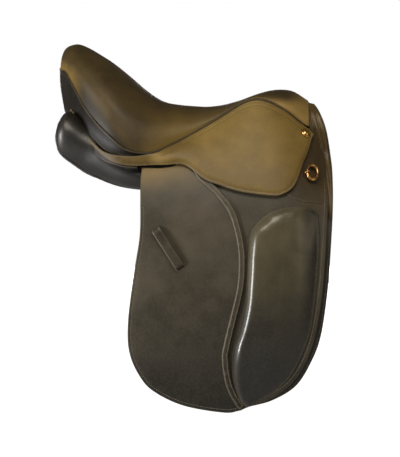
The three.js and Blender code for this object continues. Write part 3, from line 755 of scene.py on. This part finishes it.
def seat_shape():
    t = np.linspace(0, 1, SEAT_STATIONS + 1) ** 1.5
    stations = REAR_X + (SEAT_FRONT_X - REAR_X) * t
    across = np.sin(np.linspace(-np.pi / 2, np.pi / 2, SEAT_ROWS + 1))
    outer = np.array([seat_point(x, across).T for x in stations])
    fullness = profile((-249, 1), (-235, 5), (-200, 8), (-140, 8), (-90, 4), (-50, 0))(stations)[:, None]
    belly = smooth(0.3, 0.86, abs(across)) * (1 - smooth(0.86, 1.0, abs(across))) * fullness
    outer[:, :, 1] += belly * np.sign(across)
    outer[:, :, 2] -= 0.5 * belly
    inner = np.array([seat_point(x, across, COVER).T for x in stations])
    outer = np.concatenate([rolled(outer[:, :1], -1)[:, ::-1], outer, rolled(outer[:, -1:], 1)], axis=1)
    inner = np.concatenate([np.repeat(inner[:, :1], 3, 1), inner, np.repeat(inner[:, -1:], 3, 1)], axis=1)
    rear = closing(outer[0], [(-1.6, 0.95, 0.62), (-2.3, 0.85, 0.25)])[::-1]
    front = closing(outer[-1], [(2.6, 0.985, 0.97), (4.6, 0.955, 0.9), (5.4, 0.92, 0.8)])
    outer = np.concatenate([rear, outer, front])
    inner = np.concatenate([np.repeat(inner[:1], 2, 0), inner, np.repeat(inner[-1:], 3, 0)])
    flat = outer.reshape(-1, 3)
    flat[:, 2] += wander(flat, 0.016, 0.6) + wander(flat, 0.055, 0.2)
    return grid_shell(outer, inner)


def rolled(edge, side):
    """The seat leather turned under at the seam, outwards from the last row of points."""
    steps = [(0.25, -1.3), (-0.6, -3.0), (-3.2, -4.0)]
    return np.concatenate([edge + np.array([0, side * dy, dz]) for dy, dz in steps], axis=1)


def closing(section, steps):
    """Extra sections past the seat's end, each moved forward and drawn in, so that the leather turns over."""
    low = section[:, 2].min()
    made = []
    for forward, width, height in steps:
        ring = section.copy()
        ring[:, 0] += forward
        ring[:, 1] *= width
        ring[:, 2] = low + (ring[:, 2] - low) * height
        made.append(ring)
    return np.array(made)


single("seat", seat_shape(), seat_leather, ["seat_cover"])


def piping_line():
    line = []
    for w in np.linspace(-1, 1, 240):
        x, y, back = edge_plan(w, SEAT_FRONT_X - 2, -2.0)
        line.append((x + 3 * back, y, float(seam_z(x)) - 0.9))
    return np.array(line)


piping = tube(piping_line(), WELT_RADIUS)
single("seat_welt", piping, trim_leather, ["seat_piping"])


# ---- Facings under the seat's rim ----
cantle_foot = profile((-249, 60), (-233, 55), (-212, 44), (-190, 24), (-148, -12), (-118, -16), (-85, -20))


def cantle_point(w, v, inset):
    """A point of the wall under the seat's rim: w along it as in edge_plan, v from 0 at the rim to 1."""
    x, y, back = edge_plan(w, -85, inset)
    top = float(seam_z(x)) - 1.5 + 0.8 * back
    bottom = min(float(cantle_foot(x)), top - 3)
    bow = math.sin(math.pi * v)
    swell = 10.7 * v * v - 4.6 - 0.8 * bow
    return x + swell * back, y + np.sign(w) * 2.2 * bow * (1 - back), lerp(top, bottom, v)


cantle = shell_of(cantle_point, np.linspace(-1, 1, 121), np.linspace(0, 1, 13), (3.4, 6.4))
single("cantle_cover", cantle, facing_leather, ["cantle_facing"])


POMMEL_STATIONS = (0, 0.25, 0.5, 0.75, 1, 1.4, 1.8, 2.3)


def down_pommel(*values):
    """A curve through a value at each station, from the middle of the arch to the foot of its facing."""
    return profile(*zip(POMMEL_STATIONS, values))


# The facing's two edges, each as curves for x, y and z.
POMMEL_SEAT_SIDE = (
    profile((0, 186), (0.5, 187.5), (0.75, 189), (1, 200), (1.4, 218), (1.8, 226.5), (2.3, 225)),
    down_pommel(0, 26, 47, 57, 64, 99, 140, 157),
    down_pommel(77, 74, 61.5, 37.5, -6, -48, -112, -230),
)
POMMEL_FRONT_SIDE = (
    down_pommel(200, 204, 213, 223, 230, 233, 232, 225.5),
    down_pommel(0, 27, 48, 60, 66, 93, 137, 156),
    down_pommel(71, 69, 54, 27, -14, -52, -114, -231),
)
POMMEL_FOLDS = 3
POMMEL_END = POMMEL_STATIONS[-1]


def pommel_point(s, v, proud=0.0):
    """A point of the arched facing in front of the seat, v from 0 at the seat to 1 at its front edge.
    s is 0 at the top, 1 beside the head and POMMEL_END at the foot of the facing."""
    side = abs(s)
    x, y, z = (lerp(float(a(side)), float(b(side)), v) for a, b in zip(POMMEL_SEAT_SIDE, POMMEL_FRONT_SIDE))
    depth = 2.2 - 1.4 * float(smooth(1, POMMEL_END, side))
    fold = depth * abs(math.sin(POMMEL_FOLDS * math.pi * v)) ** 0.7 + proud
    y = max(0.0, y + fold * min(side, 1))
    return (x + fold * 0.7, math.copysign(y, s), z + fold * max(0.0, 1 - side))


pommel = shell_of(pommel_point, np.linspace(-POMMEL_END, POMMEL_END, 141), np.linspace(0, 1, 37), (0.0, -4.0))
single("pommel_cover", pommel, pommel_leather, ["pommel_facing"])
for name, level in (("pommel_rear_welt", 0.02), ("pommel_front_welt", 0.98)):
    line = np.array([pommel_point(s, level, 0.6) for s in np.linspace(-POMMEL_END, POMMEL_END, 180)])
    single(name, tube(line, WELT_RADIUS), trim_leather)


def channel_shape():
    """The channel's lining, with its sides turned down."""
    x, y = np.meshgrid(np.linspace(-212, 182, 60), np.linspace(-46, 46, 29), indexing="ij")
    z = channel_top(x) - 0.04 * np.maximum(0, abs(y) - 30) ** 2
    return grid_shell(np.stack([x, y, z], -1), np.stack([x, y, z + 2.5], -1))


single("channel_cover", channel_shape(), webbing, ["channel_lining"])


# ---- Panels ----
PANEL = {
    "y": profile((-246, 98), (-226, 94), (-190, 87), (-144, 86), (-100, 87), (-60, 84), (20, 82), (140, 82),
                 (188, 74), (200, 72)),
    "z": profile((-246, 15), (-226, 16), (-190, -6), (-144, -29), (-100, -40), (-60, -42), (20, -42),
                 (140, -46), (200, -48)),
    "wide": profile((-246, 12), (-240, 32), (-226, 42), (-190, 44), (-144, 50), (-100, 52), (-60, 49),
                    (80, 52), (140, 56), (188, 46), (200, 24)),
    "thick": profile((-246, 11), (-240, 29), (-226, 43.5), (-190, 45), (-144, 36.5), (-100, 28), (-60, 24),
                     (20, 22), (140, 18), (188, 14), (200, 8)),
    "tilt": profile((-246, 10), (-190, 14), (-144, 20), (-100, 25), (-60, 29), (20, 37), (140, 52),
                    (200, 58)),
}
PANEL_COUNT = 72


def panel_ring(x, grow=0.0):
    tilt = math.radians(float(PANEL["tilt"](x)))
    angle = turns(PANEL_COUNT)
    a = (float(PANEL["wide"](x)) + grow) * np.sign(np.cos(angle)) * np.abs(np.cos(angle)) ** 0.86
    b = (float(PANEL["thick"](x)) + grow) * np.sign(np.sin(angle)) * np.abs(np.sin(angle)) ** 0.86
    y = float(PANEL["y"](x)) + a * math.cos(tilt) + b * math.sin(tilt)
    z = float(PANEL["z"](x)) - a * math.sin(tilt) + b * math.cos(tilt)
    return np.array([np.full(PANEL_COUNT, x), -y, z]).T


def panel_shape():
    stations = lerp(-246, 200, 0.5 - 0.5 * np.cos(np.linspace(0, np.pi, 90)))
    rings = np.array([panel_ring(x, -1.2) for x in stations])
    direction = unit(rings - rings.mean(1, keepdims=True)).reshape(-1, 3)
    verts = rings.reshape(-1, 3)
    verts = verts + direction * (wander(verts, 0.03, 1.1) + wander(verts, 0.09, 0.4))[:, None]
    return verts, swept(len(stations), PANEL_COUNT)


def panel_line(share, start, stop, grow=0.0):
    """A line along the panel at a share of the way round its section."""
    k = int(round(share * PANEL_COUNT)) % PANEL_COUNT
    return np.array([panel_ring(x, grow)[k] for x in np.linspace(start, stop, 90)])


both("panel_pad", panel_shape(), [panel_leather], "saddle", ["panel_"])
both("panel_welts", joined(
    tube(panel_line(0.88, -236, 190, -1.2), 1.2, 8),
    tube(panel_line(0.55, -238, 190, -0.6), WELT_RADIUS, 8),
), [panel_leather], "saddle")


# ---- Flap ----
FLAP_BEND = ((0.06, -0.1685, -0.078), (0.06, -0.1685, -0.104))
SEAM_STRIP = [(6, -36), (14, -48), (30, -62), (46, -77), (68.2, -108.7), (82, -155.3), (85.6, -197),
              (82.4, -239), (70.8, -289.5), (60.9, -331.7), (57.6, -357), (64.5, -399), (79, -427),
              (85, -434)]
STRIP_WIDTH = 10
FLAP_STEP = 1.7


FLAP_REAR = [(-92, -35), (-94, -55), (-93, -90), (-93, -148), (-102, -210), (-112, -291), (-110, -345),
             (-92, -387), (-67, -413), (-17, -436), (51, -447), (79, -443)]
FLAP_FRONT = [(79, -443), (92, -437), (129, -423), (165, -397), (191, -357), (206, -310), (216, -249),
              (221, -189), (224, -139), (227, -90), (226, -60), (222, -24), (213, 6), (203, 24)]
flap_loop = closed_outline(
    FLAP_REAR, FLAP_FRONT, [(203, 24), (187, 22)], [(187, 22), (183, -16)], [(183, -16), (64, -16)],
    [(64, -16), (34, -34)],
    [(34, -34), (18, -42), (0, -32), (-25, -28), (-42, -33), (-62, -35.5), (-92, -35)],
)


def edge_row(loop, inset, first, last):
    """A line inside a loop, from the loop's point nearest first to the one nearest last."""
    line = loop - outward(loop) * inset
    a = int(np.argmin(np.linalg.norm(loop - first, axis=1)))
    b = int(np.argmin(np.linalg.norm(loop - last, axis=1)))
    order = np.arange(a, b) if a < b else np.concatenate([np.arange(a, len(loop)), np.arange(0, b)])
    return line[order]


flap_rear_row = edge_row(flap_loop, 5.5, (-93, -100), (79, -443))
flap_front_row = edge_row(flap_loop, 6.5, (92, -437), (224, -60))
flap_rear_sink = groove(flap_rear_row, 0.5)
flap_front_sink = groove(flap_front_row, 0.6)


strip_middle = offset_line(run_through(SEAM_STRIP, 3), STRIP_WIDTH / 2)
strip_x = profile(*[(z, x) for x, z in resampled(strip_middle, 30)[::-1]])
lip_x = profile(*[(z, x) for x, z in resampled(flap_front_row, 25)])


def flap_surface(x, z):
    """The flap's outer face. Its front part lies a little under its rear part, from the seam strip on."""
    lip = smooth(-4, 0, x - lip_x(z)) * smooth(-60, -80, z)
    step = FLAP_STEP * smooth(1, 4, x - strip_x(z)) * smooth(-440, -425, z) * (1 - lip)
    return flap_face(x, z) - step + flap_rear_sink(x, z) + flap_front_sink(x, z)


flap_sheet = leather_sheet(
    [flap_loop], flap_surface, LEATHER, furrow_lines(flap_rear_row) + furrow_lines(flap_front_row), grid=6
)
flap_materials = [flap_leather, dark_edge]
both("flap_leather", flap_sheet, flap_materials, "flap_", ["flap_", "flap_top_"], FLAP_BEND)

strip_sides = [offset_line(strip_middle, distance) for distance in (-STRIP_WIDTH / 2, STRIP_WIDTH / 2)]
strip_loop = np.vstack([strip_sides[0], strip_sides[1][::-1]])
strip_sheet = leather_sheet([strip_loop], lambda x, z: flap_face(x, z) + 1.6, 1.4, grid=3, edge=0.6)
both("flap_seam_strip", strip_sheet, flap_materials, "flap_", bend=FLAP_BEND)
strip_lines = [offset_line(strip_middle, distance) for distance in (-3.4, 3.4)]
strip_rows = side_stitches(strip_lines, lambda x, z: flap_face(x, z) + 1.7)
edge_rows = side_stitches([flap_rear_row, flap_front_row], flap_surface)
both("flap_stitching", joined(strip_rows, edge_rows), [flap_thread], "flap_", bend=FLAP_BEND)


# ---- Knee block ----
PAD_REAR = [(117, -115.8), (102.3, -130.8), (93.9, -147.5), (90.6, -181), (89, -214), (85.7, -260),
            (78.2, -298), (68.1, -331), (64, -364.6), (66.9, -398), (77.5, -427), (88, -438)]
PAD_FRONT = [(88, -438), (115, -425), (142.3, -406.5), (165.5, -381.6), (184.4, -343.6), (196.8, -307),
             (203.5, -260), (207.5, -218), (210, -177), (211, -140), (209, -112)]
PAD_TOP = [(209, -112), (198, -103.4), (178.7, -99.6), (153, -101.7), (132, -107.4), (117, -115.8)]


def dome(distance, reach):
    """A quarter-round rise from 0 at a seam to 1 at reach from it."""
    return np.sqrt(1 - (1 - np.clip(distance / reach, 0, 1)) ** 2)


def block_height(x, z):
    """Height of the stuffed pad: a steep rear, a rounded top, and a long fall to the front and toe."""
    points = np.array([x, z]).T
    rear, front, top = (nearest(points, run_through(line, 2.0)) for line in (PAD_REAR, PAD_FRONT, PAD_TOP))
    across = rear / (rear + front + 1e-6)
    fall = 1 - 0.3 * smooth(0.1, 0.6, across) - 0.66 * smooth(0.5, 1.0, across)
    toe = 1 - 0.75 * smooth(330, 436, -z)
    head = (0.25 + 0.75 * dome(top, 26)) * dome(top, 5)
    return 1.5 + (BLOCK_HEIGHT - 4) * dome(rear, 15) * fall * head * toe


def pad_shape():
    """The stuffed pad: a wrinkled upper skin over its outline, and a back that follows the flap."""
    loop = closed_outline(PAD_REAR, PAD_FRONT, PAD_TOP)
    flat, triangles = triangulated([loop], [], 3.0)
    x, z = flat.T
    base = flap_y(x, z) - FLAP_STEP
    ease = dome(nearest(flat, loop), 6.0)
    low = np.array([x, -(base + 0.3), z]).T
    high = np.array([x, -(base + 1.5 + np.maximum(0, block_height(x, z) - 1.5) * ease), z]).T
    high[:, 1] -= 0.45 * (wander(high, 0.035, 1.2) + wander(high * (0.35, 1, 1), 0.11, 0.5))
    count, n = len(flat), len(loop)
    faces = [tuple(f) for f in triangles] + [tuple(f[::-1] + count) for f in triangles]
    faces += [(i, i + count, (i + 1) % n + count, (i + 1) % n) for i in range(n)]
    return np.vstack([high, low]), faces


both("knee_pad", pad_shape(), [block_leather], "flap_", ["knee_block_"])
FRONT_SEAM = [(132, -70), (151.4, -75.9), (165.1, -84.5), (183.9, -90.7), (201, -93.6), (219, -95)]
front_welt = side_tube(run_through(FRONT_SEAM), flap_surface, 1.3, 0.2)
both("front_seam_welt", front_welt, [flap_leather], "flap_", bend=FLAP_BEND)


# ---- Sweat flap ----
def sweat_surface(x, z):
    return flap_y(x, z) - (SWEAT_DEPTH - 12 * smooth(110, 200, x) * smooth(80, 130, -z))


sweat_loop = closed_outline(
    [(-58, -68), (-76, -150), (-84, -290), (-72, -370), (-30, -408), (50, -428), (92, -441)],
    [(92, -441), (132, -429), (173, -402), (200, -358), (214.5, -317), (224.5, -251), (229.5, -191),
     (232, -141), (233.5, -78), (231, -44), (224, -27)],
    [(224, -27), (214, -27), (180, -66)],
    [(180, -66), (150, -70), (40, -68), (-58, -68)],
)
sweat_row = edge_row(sweat_loop, 4, (-76, -150), (233, -75))
sweat_sheet = leather_sheet([sweat_loop], sweat_surface, grid=9)
both("sweat_flap_leather", sweat_sheet, [panel_leather, cut_edge], "saddle", ["sweat_flap_"])
sweat_stitches = side_stitches([sweat_row], sweat_surface)
both("sweat_flap_stitching", sweat_stitches, [flap_thread], "saddle")


# ---- Rear facing, between the skirt's band and the panel ----
rear_facing_loop = closed_outline(
    [(-228, 59), (-216.5, 34), (-203, 15), (-183.6, -5), (-157, -24), (-128, -33), (-100, -36)],
    [(-100, -36), (-100, -24)],
    [(-100, -24), (-128, -20), (-157, -10), (-184, 12), (-203, 34), (-214, 52), (-223, 64)],
    [(-223, 64), (-228, 59)],
)
rear_facing = leather_sheet([rear_facing_loop], lambda x, z: seam_y(x) + 0.6, 3, grid=5)
both("rear_facing", rear_facing, [facing_leather, cut_edge], "saddle")


# ---- Skirt ----
SKIRT_PIVOT = np.array([60.0, -121.5, 20.25])
SKIRT_DOWN = np.array([0.3217, -0.6246, -0.7097])
SKIRT_BEND = [tuple((SKIRT_PIVOT + reach * SKIRT_DOWN) * MM) for reach in (-8, 14)]


def skirt_outline():
    lower = [(-221, 57), (-213, 43), (-203.5, 30), (-190.5, 13.5), (-169, -7.5), (-151, -20.7),
             (-135, -27.6), (-111, -31.8), (-80, -32), (-52, -31), (-18, -31), (16, -54), (42, -63.5),
             (76, -74), (127, -80.5), (149, -78.5), (169, -64), (183, -31), (194, -6), (202, 21)]
    seam = [(x, float(seam_z(x)) - 1.0) for x in range(196, -70, -14)]
    tail = [(-70, -9.5), (-101, -15.5), (-135.7, -13.8), (-162, -5.5), (-190, 19.5), (-203.5, 36),
            (-212, 49), (-219, 60)]
    return closed_outline(lower, [(202, 21), seam[0]], seam, [seam[-1], *tail], [tail[-1], lower[0]])


skirt_loop = skirt_outline()
skirt_rim_row = edge_row(skirt_loop, 4.5, (-120, -31.5), (202, 19))
skirt_seam_lines = [
    np.array([(x, float(seam_z(x)) - drop) for x in np.linspace(-60, 190, 120)]) for drop in (5.5, 11.5)
]
skirt_sinks = [groove(line, 0.85) for line in (skirt_rim_row, *skirt_seam_lines)]


def skirt_surface(x, z):
    return skirt_y(x, z) + sum(sink(x, z) for sink in skirt_sinks)


skirt_marks = [mark for line in (skirt_rim_row, *skirt_seam_lines) for mark in furrow_lines(line)]
skirt_sheet = leather_sheet([skirt_loop], skirt_surface, LEATHER, skirt_marks, grid=5)
both("skirt_leather", skirt_sheet, [skirt_leather, cut_edge], "skirt_",
     ["skirt_", "skirt_band_"], SKIRT_BEND)
skirt_rows = side_stitches([skirt_rim_row, *skirt_seam_lines], skirt_surface)
both("skirt_stitching", skirt_rows, [dark_thread], "skirt_", bend=SKIRT_BEND)


# ---- Billets, webs, pockets ----
def strap_loop(x, low, high, point):
    """The outline of a strap that hangs at x, with an end that comes to a point of this height."""
    left, right = x - BILLET_WIDTH / 2, x + BILLET_WIDTH / 2
    corners = [(left, low + point), (x, low), (right, low + point), (right, high), (left, high)]
    return closed_outline(*([a, b] for a, b in zip(corners, corners[1:] + corners[:1])))


for name, billet in BILLETS.items():
    x, depth = billet["x"], billet["depth"]

    def below(px, pz, depth=depth):
        return flap_y(px, pz) - depth

    def sunk(px, pz, below=below):
        return below(px, pz) - 0.3

    holes = [circle(x, BILLET_END_Z + 30 + i * HOLE_PITCH, HOLE_RADIUS)[::-1] for i in range(BILLET_HOLES)]
    loop = strap_loop(x, BILLET_END_Z, BILLET_TOP_Z, 14)
    strap = leather_sheet([loop, *holes], below, BILLET_THICK, edge=STRAP_EDGE)
    lines = [run_through([(at, BILLET_TOP_Z - 4), (at, BILLET_END_Z + 22)], 2) for at in (x - 9.5, x + 9.5)]
    rows = side_stitches(lines, sunk)
    web = leather_sheet([strap_loop(x, WEB_END_Z, WEB_TOP_Z, 0)], below, BILLET_THICK, edge=STRAP_EDGE)
    body = f"{name}_billet_"
    both(f"{name}_billet_strap", strap, [strap_leather, dark_edge], body, [body])
    both(f"{name}_billet_stitching", rows, [flap_thread], body)
    both(f"{name}_web", web, [webbing, webbing], "saddle", [f"{name}_girth_web_"])

pocket_loop = closed_outline([(144, -20), (178, -20)], [(178, -20), (178, -60), (161, -76), (144, -60)],
                             [(144, -60), (144, -20)])
pocket = leather_sheet([pocket_loop], lambda x, z: flap_y(x, z) - 5, 2.4, edge=0.8)
both("tree_point_pocket", pocket, [strap_leather, dark_edge], "saddle", ["point_pocket_"])


# ---- Fittings on a side surface ----
def placed(shape, surface, spot, lift, spin=0.0):
    """Moves a shape made round the origin, +Z outwards and +Y up, onto a side surface."""
    centre, normal, _, _ = side_frame(np.array([spot], float), surface)
    out = normal[0]
    up = unit(np.array([0, 0, 1.0]) - out * out[2])
    forward = np.cross(up, out)
    verts = np.asarray(shape[0], float)
    turn = np.array([[math.cos(spin), -math.sin(spin), 0], [math.sin(spin), math.cos(spin), 0], [0, 0, 1]])
    verts = verts @ turn.T
    moved = centre[0] + out * lift + verts @ np.array([forward, up, out])
    return (moved, *shape[1:])


def ribbon(path, width, thickness):
    """A leather strap along a path in the local XZ plane: a rounded-edge section swept along it."""
    path = resampled(path, 1.2)
    tangent = unit(np.gradient(path, axis=0))
    half, r = width / 2, thickness / 2
    left = [(-half + r - r * math.sin(a), r * math.cos(a)) for a in np.radians([0, 45, 90, 135, 180])]
    lower = [(x, -r) for x in np.linspace(-half + r, half - r, 9)[1:-1]]
    right = [(-x, y) for x, y in left[::-1]]
    upper = [(x, r + 0.3 * (1 - (x / half) ** 2)) for x in np.linspace(half - r, -half + r, 9)[1:-1]]
    section = left + lower + right + upper
    verts = [(p[0] - t[1] * h, y, p[1] + t[0] * h) for p, t in zip(path, tangent) for y, h in section]
    return np.array(verts), swept(len(path), len(section))


KEEPER_PATH = [(-38.5, -1.5), (-37.5, 2.2), (-35, 4.6), (-31, 5.6), (-16, 6.2), (0, 6.4), (16, 6.2),
               (31, 5.6), (35, 4.6), (37.5, 2.2), (38.5, -1.5)]
keeper_curve = run_through(KEEPER_PATH, 1.2)
keeper_shape = placed(ribbon(keeper_curve, 15.5, 2.6), flap_y, KEEPER_SPOT, 0.6, KEEPER_ANGLE)
both("keeper_strap", keeper_shape, [strap_leather], "flap_", ["keeper_"])


def ring_shape():
    angle, b = turns(72)[:, None], turns(18)
    r = RING_RADIUS + RING_WIRE * np.cos(b)
    height = RING_WIRE * 0.92 * np.sin(b) + 0 * angle
    verts = np.stack([RING_SQUASH * r * np.cos(angle), 1.14 * r * np.sin(angle), height], -1)
    return verts.reshape(-1, 3), swept(72, 18, looped=True)


ring = placed(ring_shape(), flap_y, RING_SPOT, 5.2, -RING_LEAN)
both("breastplate_loop", ring, [brass], "breastplate_ring_", ["breastplate_ring_"])


def staple_shape():
    arch = [(4.55 * math.cos(a), 4.8 + 4.55 * math.sin(a)) for a in np.linspace(0, np.pi, 25)]
    path = [(4.55, 0.0), *arch, (-4.55, 0.0)]
    line = resampled(np.array([(-RING_SQUASH * RING_RADIUS - 0.7 + u, 0.0, w) for u, w in path]), 0.6)
    return tube(line, 1.15, 12)


both("staple", placed(staple_shape(), flap_y, RING_SPOT, 0.5), [brass], "saddle", ["ring_staple_"])


def lathe(section, count=48):
    """A turned piece round the local Z axis. Its section of (radius, height) starts and ends on the axis."""
    rings = [(r * math.cos(a), r * math.sin(a), h) for r, h in section[1:-1] for a in turns(count)]
    last = len(rings) - count + 1
    faces = [tuple(1 + i for i in face) for face in swept(len(section) - 2, count)[:-2]]
    for k in range(count):
        m = (k + 1) % count
        faces += [(0, 1 + m, 1 + k), (last + k, last + m, len(rings) + 1)]
    return np.array([(0, 0, section[0][1]), *rings, (0, 0, section[-1][1])]), faces


STUD_SECTION = [(0, 0), (8.6, 0), (9.3, 0.4), (9.3, 1.3), (8.7, 2.2), (7.6, 2.4), (6.8, 1.8),
                (6.0, 1.8), (5.4, 2.8), (4.2, 3.8), (2.2, 4.4), (0, 4.5)]
stud = placed(lathe(STUD_SECTION), skirt_y, STUD_SPOT, 0.3)
both("skirt_stud", stud, [brass], "skirt_", ["stud_"])


# ---- CAD nodes that stay ----
def dress(node, material, bevel=0.0):
    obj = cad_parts[node]
    obj.data.materials.clear()
    obj.data.materials.append(material)
    if bevel:
        rounding = obj.modifiers.new("rounding", "BEVEL")
        rounding.width = bevel
        rounding.segments = 2
        rounding.limit_method = "ANGLE"


dress("tree", moulding)
dress("seat_foam", foam)
dress("seat_webbing", webbing)
dress("head_plate", steel, 0.0006)
for side in ("right", "left"):
    for fitting in ("stirrup_bar", "safety_catch", "catch_pin", "rear_bar_rivet", "front_bar_rivet"):
        dress(f"{fitting}_{side}", steel, 0.0005)


# ---- Floor, light and camera ----
# Strengths as seen by the camera and as light on the object.
FLOOR_GLOW = (0.97, 0.06)
SKY_GLOW = (1.0, 0.07)
# Each light's place, where it aims, its size in metres, its power and its colour.
LIGHTS = {
    "overhead": ((0.05, -0.85, 0.85), (0, -0.1, -0.1), (0.9, 0.6), 10, (1, 0.92, 0.78)),
    "left_strip": ((-1.7, -1.15, -0.12), (0, -0.15, -0.2), (0.6, 0.6), 40, (1, 1, 1)),
    "right_fill": ((1.7, -0.9, 0.3), (0.1, -0.1, -0.2), (0.7, 1.3), 3.5, (1, 0.86, 0.62)),
    "far_side": ((-0.2, 2.0, -0.05), (0, 0.1, -0.1), (1.6, 0.7), 22, (1, 1, 1)),
}
CAMERA_AZIMUTH = math.radians(3)
CAMERA_ELEVATION = math.radians(5)
CAMERA_TARGET = Vector((0, 0, -0.152))
CAMERA_DISTANCE = 2.645
FRAME_HEIGHT = 0.8272
SENSOR = 36


def seen_level(tree, seen, otherwise):
    """A strength that is one value as seen by the camera and another as light on the object."""
    path = tree.nodes.new("ShaderNodeLightPath")
    level = tree.nodes.new("ShaderNodeMapRange")
    level.inputs["To Min"].default_value = otherwise
    level.inputs["To Max"].default_value = seen
    tree.links.new(path.outputs["Is Camera Ray"], level.inputs["Value"])
    return level.outputs["Result"]


def floor_paint():
    """Pale matt paint, bright as a light table is."""
    s = Shader("floor_paint")
    tone = s.noise(3, 2)
    shade = s.mix(s.span(tone, 0.3, 0.7), (0.49, 0.49, 0.49), (0.5, 0.5, 0.5))
    glow = seen_level(s.tree, *FLOOR_GLOW)
    rough = s.span(tone, 0.3, 0.7, 0.88, 0.92)
    return s.finish(shade, rough, Specular_IOR_Level=0.1, Emission_Color=(1, 1, 1), Emission_Strength=glow)


def floor():
    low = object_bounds()[0][2] - 0.0005
    mesh = bpy.data.meshes.new("floor")
    mesh.from_pydata([(-30, -30, low), (30, -30, low), (30, 30, low), (-30, 30, low)], [], [(0, 1, 2, 3)])
    mesh.materials.append(floor_paint())
    added("floor", mesh)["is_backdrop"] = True


def softbox(name, spot, aim, size, power, colour):
    data = bpy.data.lights.new(name, "AREA")
    data.shape = "RECTANGLE"
    data.size, data.size_y = size
    data.energy = power
    data.color = colour
    obj = added(name, data)
    obj.location = spot
    obj.rotation_euler = (Vector(aim) - Vector(spot)).to_track_quat("-Z", "Y").to_euler()


def surroundings():
    """White all round: seen at full brightness behind the object, and dimmer as a light."""
    world = bpy.data.worlds.new("studio")
    world.use_nodes = True
    tree = world.node_tree
    background = tree.nodes["Background"]
    background.inputs["Color"].default_value = (1, 1, 1, 1)
    tree.links.new(seen_level(tree, *SKY_GLOW), background.inputs["Strength"])
    bpy.context.scene.world = world


def camera():
    data = bpy.data.cameras.new("camera")
    back = Vector((
        math.sin(CAMERA_AZIMUTH) * math.cos(CAMERA_ELEVATION),
        -math.cos(CAMERA_AZIMUTH) * math.cos(CAMERA_ELEVATION),
        math.sin(CAMERA_ELEVATION),
    ))
    data.sensor_width = SENSOR
    data.lens = SENSOR * CAMERA_DISTANCE / FRAME_HEIGHT
    obj = added("camera", data)
    obj.location = CAMERA_TARGET + back * CAMERA_DISTANCE
    obj.rotation_euler = (-back).to_track_quat("-Z", "Y").to_euler()
    bpy.context.scene.camera = obj


floor()
surroundings()
for name, light in LIGHTS.items():
    softbox(name, *light)
camera()
bpy.context.scene.view_settings.view_transform = "Standard"
